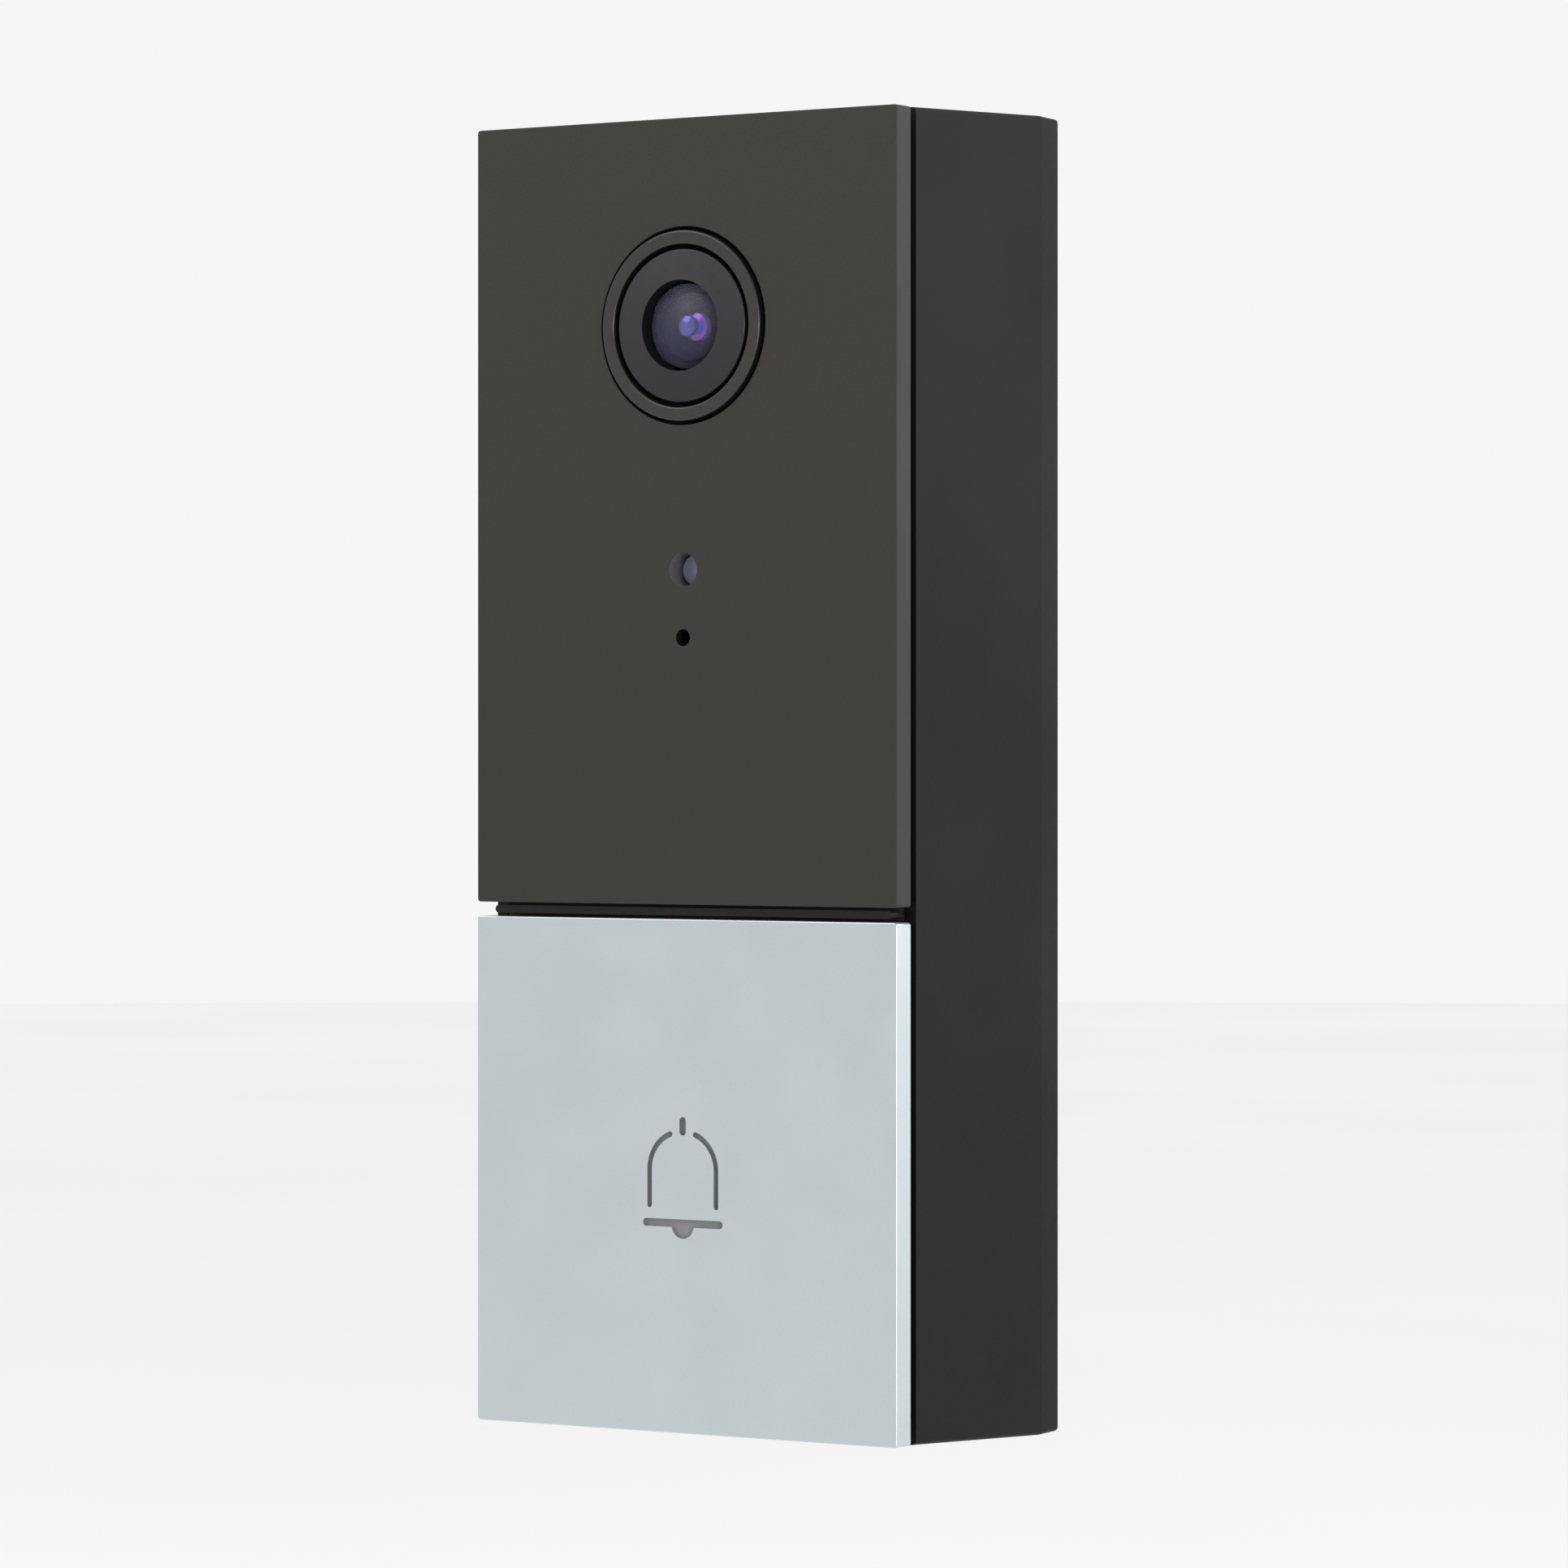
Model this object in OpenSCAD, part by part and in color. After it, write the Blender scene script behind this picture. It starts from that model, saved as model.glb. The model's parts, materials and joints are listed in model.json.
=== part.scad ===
// Wired video doorbell: a slim upright case with a dark camera cover above a bright push plate.
// The origin is the centre of the wall plane. +Z is up, -Y points at the visitor, +X is the right-hand side.
// Depths run along Y: the wall is at y = 0 and the front of the plates at y = -case_d. Millimetres.

/* [Case] */
// Width over the two front plates
front_w = 48; // [44:0.5:60]
// Height over the two front plates
front_h = 124; // [112:1:150]
// Depth from the wall to the face of the front plates
case_d = 27.3; // [27:0.1:34]
// Distance from the face of the plates to the housing's front rim
rim_d = 3.3; // [3.2:0.1:4]
// Outward slope of the housing's sides between rim and parting line
side_flare = 0.8; // [0.2:0.1:1.2]
// Depth of the strip behind the parting line
strip_d = 3.1; // [2.4:0.1:4]
// Inward slope of that strip
strip_taper = 0.1; // [0:0.05:0.4]
// Thickness of the side walls
wall_t = 2.4; // [2:0.1:2.9]
// Thickness of the back wall
back_t = 2; // [1.6:0.1:2.4]
// Depth of the rear recess that takes the wall bracket
recess_d = 3.2; // [3:0.1:4]
// Thickness of the skirt around the rear recess
skirt_t = 2.4; // [2:0.1:3]

/* [Front plates] */
// Thickness of the camera cover and of the push plate
plate_t = 2.4; // [2:0.1:2.4]
// Corner radius of the plates
plate_r = 0.3; // [0.1:0.1:1]
// Height of the push plate
push_h = 48.47; // [44:0.01:58]
// Open gap between the two plates
split_gap = 1.36; // [1.2:0.02:2]
// Height of the divider rib in that gap
rib_h = 0.75; // [0.5:0.05:0.8]
// How far the rib's front lies behind the face of the plates
rib_d = 1.1; // [0.8:0.1:1.6]
// How far the frame is set in from the edge of the plates
frame_inset = 1.34; // [1.2:0.02:1.5]
// Thickness of the frame's skin behind the camera cover
skin_t = 2; // [1.8:0.1:2.4]
// Depth of the frame's flange in the housing's rebate
flange_d = 2.1; // [2:0.1:2.6]
// Depth of the locating spigot behind the flange
spigot_d = 3.4; // [2:0.1:3.8]
// Wall of the locating spigot
spigot_t = 1; // [0.8:0.1:1.4]

/* [Camera] */
// Camera axis below the top edge of the cover
cam_drop = 19.6; // [18:0.1:24]
// Outer radius of the raised ring
ring_or = 9; // [8.8:0.01:11]
// Inner radius of the raised ring
ring_ir = 7.68; // [7.6:0.01:8]
// How far the ring stands proud of the cover
ring_proud = 0.45; // [0.1:0.05:0.6]
// Open gap between the ring and the cover
ring_gap = 0.36; // [0.2:0.02:0.5]
// Radius of the dark window disc
disc_r = 7.22; // [7:0.01:7.4]
// How far the disc's opening stands proud of the cover
disc_proud = 0.55; // [0.4:0.05:0.8]
// How much the disc rises from its edge to its opening
disc_rise = 0.3; // [0:0.05:0.4]
// Thickness of the disc
disc_t = 1.6; // [1.4:0.1:1.8]
// Radius of the lens opening in the disc
aperture_r = 4.3; // [4.25:0.01:4.5]
// Depth of the front lens below the face of the disc
lens_recess = 1.2; // [1.2:0.1:1.6]
// Radius of the lens barrel
barrel_r = 4.1; // [4:0.05:4.2]
// Radius of the front lens
lens_r = 4; // [3.8:0.05:4.1]
// Length from the front lens to the face of the camera board
lens_stack = 15.4; // [15:0.1:16.5]
// Width of the camera board
cam_board_w = 26; // [25:0.5:28]
// Height of the camera board
cam_board_h = 20; // [20:0.5:22]
// Thickness of the camera board
cam_board_t = 1; // [0.8:0.1:1.2]
// Number of infrared lamps
led_count = 6; // [4:1:8]
// Travel of the sliding filter
filter_travel = 6.2; // [6:0.1:6.5]

/* [Sensor and microphone] */
// Radius of the light-sensor hole
sensor_hole_r = 1.6; // [1.4:0.1:2]
// Light-sensor hole below the camera axis
sensor_drop = 23; // [20:0.5:26]
// Depth of the light pipe's face below the cover's face
pipe_recess = 2.1; // [1.8:0.1:2.3]
// Radius of the microphone hole
mic_hole_r = 0.8; // [0.5:0.1:1]
// Microphone hole below the camera axis
mic_drop = 29.4; // [28:0.1:32]

/* [Push button] */
// Travel of the push plate
push_travel = 0.5; // [0.3:0.05:0.5]
// Thickness of the plastic carrier behind the push plate
carrier_t = 1.6; // [1.4:0.1:1.6]
// Thickness of the frame's floor behind the carrier
floor_t = 1.4; // [1.2:0.1:1.6]
// Width of the walls around the carrier
pocket_wall = 1.46; // [1.2:0.02:1.8]
// Distance of the snap hooks from the middle
hook_x = 11; // [8:0.5:12]
// Width of a snap hook
hook_w = 4; // [3:0.5:5]
// Thickness of a snap hook's leg
hook_t = 1.2; // [1:0.1:1.4]
// Catch of a snap hook
hook_catch = 0.7; // [0.6:0.1:0.9]
// Radius of a return pad
pad_r = 2.4; // [2:0.1:2.8]
// Radius of the switch plunger
plunger_r = 1.5; // [1.2:0.1:1.6]
// Width of the switch case
switch_w = 6.2; // [6:0.1:7]

/* [Bell icon] */
// Height of the icon's bar above the plate's lower edge
icon_up = 19.8; // [16:0.1:24]
// Depth of the engraving
icon_d = 0.5; // [0.2:0.05:0.8]
// Width of the thin strokes
stroke_w = 0.5; // [0.4:0.05:0.7]
// Width of the bar and the stem
bar_w = 0.66; // [0.5:0.02:0.9]
// Half the length of the bar
bar_half = 4.46; // [4:0.02:5]
// Half the width between the side strokes
bell_half = 3.8; // [3.4:0.1:4.2]
// Radius of the clapper under the bar
clapper_r = 1.15; // [1:0.05:1.4]

/* [Boards] */
// Distance from the frame's floor to the main board
main_gap = 3.4; // [3.2:0.1:3.6]
// Thickness of the two large boards
board_t = 1.6; // [1.2:0.1:1.6]
// Top of the main board below the camera axis
main_top_drop = 14.4; // [14:0.1:16]
// Bottom of the main board above the case's lower edge
main_bottom_up = 9; // [8.8:0.1:12]
// Distance from the power board to the back wall
power_gap = 5.2; // [5:0.1:5.4]
// Height of the power board
power_h = 28.5; // [27:0.5:29]

/* [Speaker] */
// Length of the speaker
speaker_w = 26; // [22:0.5:28]
// Width of the speaker, front to back
speaker_d = 9.4; // [8:0.1:9.6]
// Height of the speaker's frame
speaker_h = 3.6; // [3:0.1:3.8]
// Thickness of the speaker's gasket
gasket_t = 1; // [0.8:0.1:1.2]
// Number of outlet slots in the bottom wall
slot_count = 7; // [3:2:7]
// Width of a slot
slot_w = 1.2; // [0.8:0.1:1.6]

/* [Wall bracket] */
// Thickness of the bracket
bracket_t = 1.8; // [1.6:0.1:2]
// Distance between the two wall screws
wall_screw_span = 96; // [90:1:100]
// Radius of the wall-screw holes
wall_hole_r = 2.2; // [2:0.1:2.5]
// Half the width of the wire opening
wire_half_w = 13; // [12.5:0.5:14]
// Height of the wire well
well_h = 23; // [18:1:24]
// Depth of the wire well below the recess
well_d = 5.6; // [5:0.1:5.6]

/* [Terminals] */
// Top edge of the terminal block above the middle of the case
terminal_top = 3; // [2:0.5:4]
// Width of the terminal block
terminal_w = 22; // [20:0.5:23]
// Height of the terminal block
terminal_h = 9; // [8:0.5:9]
// Distance between the two terminal screws
terminal_pitch = 10; // [9:0.5:11]
// Radius of a terminal screw's head
terminal_screw_r = 2.7; // [2.4:0.1:3]

/* [Fasteners] */
// Radius of the frame screws
frame_screw_r = 1; // [0.9:0.05:1.1]
// Radius of the board screws
board_screw_r = 0.8; // [0.7:0.05:0.9]
// Radius of the security screw
lock_screw_r = 1.5; // [1.25:0.05:1.5]

/* [Clearances] */
// Gap around parts that drop into each other
fit_gap = 0.15; // [0.1:0.01:0.2]
// Gap around parts that slide
slide_gap = 0.2; // [0.15:0.01:0.3]
// Gap around the push plate's carrier and the bracket
free_gap = 0.4; // [0.3:0.05:0.5]
// Gap around a screw that passes through
screw_gap = 0.15; // [0.1:0.01:0.2]
// Gap around a screw in its own thread
thread_gap = 0.02; // [0:0.01:0.05]

/* [Hidden] */
$fn = 64;
tiny = 0.01;

// Planes from front to back
y_front = -case_d;
y_plate_back = y_front + plate_t;
tape_t = 0.2;
y_frame_front = y_plate_back + tape_t;
y_rim = y_front + rim_d;
y_skin_back = y_frame_front + skin_t;
seal_t = 0.6;
y_seal = y_rim + flange_d;
y_rebate = y_seal + seal_t;
y_spigot = y_seal + spigot_d;
y_carrier_back = y_plate_back + carrier_t;
y_floor_front = y_carrier_back + push_travel + free_gap;
y_floor_back = y_floor_front + floor_t;
y_main_front = y_floor_back + main_gap;
y_main_back = y_main_front + board_t;
y_boss = y_main_back + 2.8;
y_recess = -recess_d;
y_wall_front = y_recess - back_t;
y_power_back = y_wall_front - power_gap;
y_power_front = y_power_back - board_t;
y_well = y_recess - well_d;
well_wall = 1.3;

// Outlines
half_w = front_w / 2;
half_h = front_h / 2;
frame_w = front_w - 2 * frame_inset;
frame_h = front_h - 2 * frame_inset;
rebate_w = frame_w + 2 * fit_gap;
rebate_h = frame_h + 2 * fit_gap;
cavity_w = front_w - 2 * wall_t;
cavity_h = front_h - 2 * wall_t;
spigot_w = cavity_w - 2 * slide_gap;
spigot_h = cavity_h - 2 * slide_gap;
rear_half_w = half_w + side_flare - strip_taper;
rear_half_h = half_h + side_flare - strip_taper;
recess_half_w = rear_half_w - skirt_t;
recess_half_h = rear_half_h - skirt_t;

// Heights of the front plates
z_push_bottom = -half_h;
z_push_top = z_push_bottom + push_h;
z_push = (z_push_bottom + z_push_top) / 2;
z_split = z_push_top + split_gap / 2;
z_cover_bottom = z_push_top + split_gap;
cover_h = half_h - z_cover_bottom;

// Camera stack
cam_z = half_h - cam_drop;
cover_hole_r = ring_or + ring_gap;
y_ring = y_front - ring_proud;
y_disc = y_front - disc_proud;
y_disc_back = y_disc + disc_t;
ledge_r = disc_r - 0.8;
y_lens = y_disc + lens_recess;
lens_lip = 0.6;
lens_t = 1.1;
lens_plug_r = lens_r - 0.5;
// Rise of the front lens, which ends just behind the face of the disc
sag = lens_recess - 0.1;
inner_lens_r = 2.1;
y_cam_board = y_lens + lens_stack;
y_cam_back = y_cam_board + cam_board_t;
led_board_or = 7;
led_board_ir = barrel_r + 0.65;
led_board_t = 0.8;
led_h = 0.7;
led_seat_d = 1.1;
y_led_board = y_frame_front + led_seat_d - led_board_t;
holder_tube_r = barrel_r + 1.3;
holder_d = 4;
y_holder = y_cam_board - holder_d;
glass_r = 2.6;
slider_rim = 1.3;
slider_w = filter_travel + 2 * (glass_r + slider_rim);
slider_h = 2 * (glass_r + slider_rim);
slider_t = 1;
slot_wall = 1;
holder_w = slider_w + filter_travel + 2 * slide_gap + 2 * slot_wall;
holder_h = slider_h + 2 * slide_gap + 2 * slot_wall;
y_slider = y_holder + slot_wall + slide_gap;

// Light sensor and microphone
sensor_z = cam_z - sensor_drop;
mic_z = cam_z - mic_drop;
mic_h = 1.1;
sensor_h = 0.8;

// Push button
pocket_w = frame_w - 2 * pocket_wall;
z_pocket_bottom = -frame_h / 2 + pocket_wall;
z_pocket_top = z_push_top - pocket_wall;
pocket_h = z_pocket_top - z_pocket_bottom;
z_pocket = (z_pocket_top + z_pocket_bottom) / 2;
carrier_w = pocket_w - 2 * free_gap;
carrier_h = pocket_h - 2 * free_gap;
hook_z = carrier_h / 2 - 2.6;
hook_len = floor_t + push_travel + free_gap + 0.9;
pad_x = carrier_w / 2 - pad_r - 1.4;
pad_z = carrier_h / 2 - pad_r - 1.4;
pad_sink = 0.6;
boot_hole_r = 3.2;
boot_plug_r = 1.3;
post_l = 0.8;
y_boot_tip = y_carrier_back + post_l;
y_plunger = y_floor_back + 0.8;
switch_h = 2;
y_switch = y_main_front - switch_h;

// Bell icon
icon_z = z_push_bottom + icon_up;
bell_foot = 1.3;
bell_shoulder = 5;
bell_arc_r = bell_half - 0.2;
bell_arc_end = 71;
stem_z = 9.15;
stem_l = 1.5;

// Boards
board_w = cavity_w - 4.4;
z_main_top = cam_z - main_top_drop;
z_main_bottom = -half_h + main_bottom_up;
main_h = z_main_top - z_main_bottom;
z_main = (z_main_top + z_main_bottom) / 2;
z_term = terminal_top - terminal_h / 2;
z_power_bottom = terminal_top - terminal_h - 1.5;
z_power = z_power_bottom + power_h / 2;
board_hole_x = board_w / 2 - 2.9;
main_holes = [z_power_bottom + 15.5, z_main_bottom + 5];
power_holes = [z_power_bottom + 4, z_power_bottom + power_h - 4];

// Ribbon and its connectors
flex_w = 8;
flex_t = 0.2;
conn_w = 10;
conn_d = 3;
conn_h = 1.2;
z_cam_conn = cam_z - cam_board_h / 2 + 3;
z_main_conn = z_main_top - 2.6;

// Antenna on the side wall
antenna_t = 0.4;
antenna_l = 28;
antenna_w = 7;
antenna_x = -cavity_w / 2;
z_antenna = z_push + 14;

// Frame screws
boss_r = 2.9;
frame_boss_r = 2.6;
boss_x = cavity_w / 2 - 3.4;
boss_zs = [cavity_h / 2 - 2.4, z_power_bottom + power_h + 3.5, 3 - cavity_h / 2];
head_r = 1.9;
head_h = 1.3;
y_screw_seat = y_recess - 6;
frame_screw_l = y_screw_seat - y_boss + 5.4;
board_screw_l = 3.6;
small_head_r = 1.5;
small_head_h = 0.9;
standoff_r = 2.2;
cam_post_r = 2.1;
cam_hole_x = cam_board_w / 2 - 2.3;
cam_hole_z = cam_board_h / 2 - 2.3;

// Speaker in the bottom of the case
z_floor = -cavity_h / 2;
z_speaker = z_floor + gasket_t;
y_speaker = y_spigot + slide_gap + speaker_d / 2;
slot_pitch = 3.2;

// Bracket, its hooks and its lock
bracket_half_w = recess_half_w - free_gap;
bracket_half_h = recess_half_h - free_gap;
tongue_x = 13;
tongue_w = 6;
tongue_t = 0.8;
tongue_l = free_gap + 0.9;
lug_w = 10;
lug_h = 5;
lug_d = 6.2;
lug_gap = 0.4;
y_lock = -3.3;
lock_head_r = 2.3;
lock_head_h = 1.2;
lock_seat = 1;
z_lock_seat = -recess_half_h - lock_seat;
z_lug = -bracket_half_h + lug_h / 2;
z_lug_top = z_lug + lug_h / 2 + lug_gap;
z_well_top = terminal_top - terminal_h - 2;
z_well = z_well_top - well_h / 2;
pocket_r = wall_hole_r + 2.9;
pocket_d = 2.6;

// Terminals
term_gap = 0.4;
y_term = -1.4;
contact_t = 0.8;
contact_w = 4.4;
y_contact = y_term - 2.2;

// Reset key
reset_x = -15;
reset_z = z_power_bottom + 12;
reset_r = 1.5;
reset_travel = 0.3;
reset_switch_h = 1.7;

// ---- helpers ----

// Extrudes an outline drawn in X and Z from depth y0 to depth y1
module along_y(y0, y1) {
  translate([0, y1, 0]) rotate([90, 0, 0]) linear_extrude(y1 - y0) children();
}

// Box centred on x and z between two depths
module slab(w, h, y0, y1, x = 0, z = 0) {
  translate([x - w / 2, y0, z - h / 2]) cube([w, y1 - y0, h]);
}

// Round bar along Y between two depths
module rod(r, y0, y1, x = 0, z = 0) {
  translate([x, y1, z]) rotate([90, 0, 0]) cylinder(r = r, h = y1 - y0);
}

// Turned part about the Y axis: profile points are [radius, depth]
module turned(profile, x = 0, z = 0) {
  translate([x, 0, z]) rotate([-90, 0, 0]) rotate_extrude() polygon(profile);
}

// Rectangle with round corners
module round_rect(w, h, r) {
  square([w - 2 * r, h], center = true);
  square([w, h - 2 * r], center = true);
  for (sx = [-1, 1], sz = [-1, 1]) translate([sx * (w / 2 - r), sz * (h / 2 - r)]) circle(r);
}

// Rectangular ring between two depths
module frame_ring(w, h, wall, y0, y1, z = 0) {
  difference() {
    slab(w, h, y0, y1, 0, z);
    slab(w - 2 * wall, h - 2 * wall, y0 - 1, y1 + 1, 0, z);
  }
}

// Pan-head screw along Y: dir is +1 where the shank points to the visitor, -1 where it points to the wall
module screw_y(r, l, hr, hh, seat, x, z, dir = 1) {
  translate([x, seat, z]) rotate([90 * dir, 0, 0]) {
    cylinder(r = r, h = l);
    translate([0, 0, -hh]) difference() {
      cylinder(r = hr, h = hh);
      translate([0, 0, -tiny]) for (a = [0, 90]) rotate(a) translate([-hr * 0.7, -hr * 0.12, 0])
        cube([hr * 1.4, hr * 0.24, hh * 0.55]);
    }
  }
}

// Straight round lengths joined by balls, for wires
module wire(points, r) {
  for (i = [0 : len(points) - 2]) {
    step = points[i + 1] - points[i];
    translate(points[i]) rotate([0, acos(step[2] / norm(step)), atan2(step[1], step[0])])
      cylinder(r = r, h = norm(step), $fn = 24);
  }
  for (i = [1 : len(points) - 2]) translate(points[i]) sphere(r, $fn = 24);
}

// Side outline of the housing for a half-size, as [across, depth] points
function drafted(half) = [
  [-half, y_rim], [half, y_rim],
  [half + side_flare, -strip_d], [half + side_flare - strip_taper, 0],
  [-half - side_flare + strip_taper, 0], [-half - side_flare, -strip_d]
];

// Solid block with the housing's outer shape
module drafted_block() {
  reach = front_h;
  intersection() {
    translate([0, 0, -reach]) linear_extrude(2 * reach) polygon(drafted(half_w));
    translate([-reach, 0, 0]) rotate([90, 0, 90]) linear_extrude(2 * reach)
      polygon([for (p = drafted(half_h)) [p[1], p[0]]]);
  }
}

// Places its children at the six frame-screw axes
module at_bosses() {
  for (sx = [-1, 1], z = boss_zs) translate([sx * boss_x, 0, z]) children();
}

// Places its children at the camera board's screw axes
module at_camera_holes() {
  for (sx = [-1, 1], sz = [-1, 1]) translate([sx * cam_hole_x, 0, cam_z + sz * cam_hole_z]) children();
}

// Places its children at a board's screw holes
module at_holes(zs) {
  for (sx = [-1, 1], z = zs) translate([sx * board_hole_x, 0, z]) children();
}

// ---- housing ----

module housing_pockets() {
  // Wire well with its floor, open to the rear recess
  slab(2 * wire_half_w, well_h, y_well, y_recess + 1, 0, z_well);
  // Window for the terminal block
  slab(terminal_w + 2 * term_gap, terminal_h + 2 * term_gap, y_wall_front - 1, y_recess + 1, 0, z_term);
  // Space for the heads of the wall screws
  for (s = [-1, 1]) rod(pocket_r, y_recess - pocket_d, y_recess + 1, 0, s * wall_screw_span / 2);
  // Space for the bracket's lug
  translate([-lug_w / 2 - lug_gap, -lug_d - lug_gap, -recess_half_h])
    cube([lug_w + 2 * lug_gap, lug_d + lug_gap, z_lug_top + recess_half_h]);
  // Catches for the bracket's tongues
  for (s = [-1, 1]) slab(tongue_w + 1, 2 * tongue_l + 0.4, -bracket_t - fit_gap,
    -bracket_t + tongue_t + fit_gap, s * tongue_x, recess_half_h);
}

module housing_bumps() {
  slab(2 * (wire_half_w + well_wall), well_h + 2 * well_wall, y_well - well_wall, y_wall_front + 1,
    0, z_well);
  for (s = [-1, 1]) rod(pocket_r + well_wall, y_recess - pocket_d - well_wall, y_wall_front + 1,
    0, s * wall_screw_span / 2);
  translate([-lug_w / 2 - lug_gap - well_wall, -lug_d - lug_gap - well_wall, -recess_half_h])
    cube([lug_w + 2 * (lug_gap + well_wall), lug_d + lug_gap, z_lug_top + well_wall + recess_half_h]);
  at_bosses() rod(boss_r, y_boss, y_wall_front + 1);
  at_holes(power_holes) rod(standoff_r, y_power_back, y_wall_front + 1);
}

module rear_housing() {
  color("#383836") difference() {
    union() {
      difference() {
        drafted_block();
        slab(cavity_w, cavity_h, y_rim - 1, y_wall_front);
        slab(rebate_w, rebate_h, y_rim - 1, y_rebate);
        slab(2 * recess_half_w, 2 * recess_half_h, y_recess, 1);
      }
      intersection() {
        housing_bumps();
        slab(cavity_w + 1, cavity_h + 1, y_rim, y_recess);
      }
      // Pads that the bracket rests on
      for (sx = [-1, 1], sz = [-1, 1]) rod(3, y_recess - tiny, -bracket_t,
        sx * (bracket_half_w - 5), sz * (bracket_half_h - 14));
    }
    housing_pockets();
    at_bosses() {
      rod(frame_screw_r + screw_gap, y_boss - 1, y_recess + 1);
      rod(head_r + 0.3, y_screw_seat, y_recess + 1);
    }
    at_holes(power_holes) rod(board_screw_r + thread_gap, y_power_back - 1, y_power_back + board_screw_l);
    rod(reset_r + slide_gap, y_wall_front - 1, y_recess + 1, reset_x, reset_z);
    // Speaker slots through the bottom wall
    for (i = [0 : slot_count - 1]) translate([(i - (slot_count - 1) / 2) * slot_pitch, y_speaker, z_floor])
      cube([slot_w, speaker_d - 3.4, 4 * wall_t], center = true);
    // Hole and head seat for the security screw
    translate([0, y_lock, -half_h - 5]) cylinder(r = lock_screw_r + screw_gap, h = 12);
    translate([0, y_lock, -half_h - 5]) cylinder(r = lock_head_r + 0.2, h = z_lock_seat + half_h + 5);
  }
}

module wall_bracket() {
  color("#8d9093") difference() {
    union() {
      slab(2 * bracket_half_w, 2 * bracket_half_h, -bracket_t, 0);
      for (s = [-1, 1]) slab(tongue_w, tongue_l + 1, -bracket_t, -bracket_t + tongue_t,
        s * tongue_x, bracket_half_h + (tongue_l - 1) / 2);
      slab(lug_w, lug_h, -lug_d, -tiny, 0, z_lug);
    }
    // Wire opening, from above the terminal block to the foot of the wire well
    translate([-wire_half_w, -5, z_well - well_h / 2])
      cube([2 * wire_half_w, 10, terminal_top + 2 - z_well + well_h / 2]);
    for (s = [-1, 1]) rod(wall_hole_r, -bracket_t - 1, 1, 0, s * wall_screw_span / 2);
    // Tapped hole for the security screw
    translate([0, y_lock, -half_h]) cylinder(r = lock_screw_r + thread_gap, h = 10);
  }
}

module security_screw() {
  color("#b8bbbd") translate([0, y_lock, z_lock_seat]) {
    cylinder(r = lock_screw_r, h = lock_seat + free_gap + lug_h + 0.3);
    translate([0, 0, -lock_head_h]) difference() {
      cylinder(r = lock_head_r, h = lock_head_h);
      translate([0, 0, -tiny]) cylinder(r = 1, h = 0.8, $fn = 6);
    }
  }
}

// ---- front frame, seal and covers ----

module front_seal() {
  color("#222222") difference() {
    slab(frame_w, frame_h, y_seal, y_rebate);
    slab(spigot_w + 2 * fit_gap, spigot_h + 2 * fit_gap, y_seal - 1, y_rebate + 1);
  }
}

module frame_skin() {
  // Block behind the camera cover, down to the divider rib
  translate([-frame_w / 2, y_frame_front, z_split])
    cube([frame_w, y_seal - y_frame_front, frame_h / 2 - z_split]);
  // Block around the button pocket, flush with the housing's rim
  translate([-frame_w / 2, y_rim, -frame_h / 2]) cube([frame_w, y_seal - y_rim, frame_h / 2 + z_split]);
  // Spigot that centres the frame in the housing
  frame_ring(spigot_w, spigot_h, spigot_t, y_seal - tiny, y_spigot);
}

module divider_rib() {
  along_y(y_front + rib_d, y_rim + 1) translate([0, z_split]) round_rect(frame_w, rib_h, rib_h / 2 - tiny);
}

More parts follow.
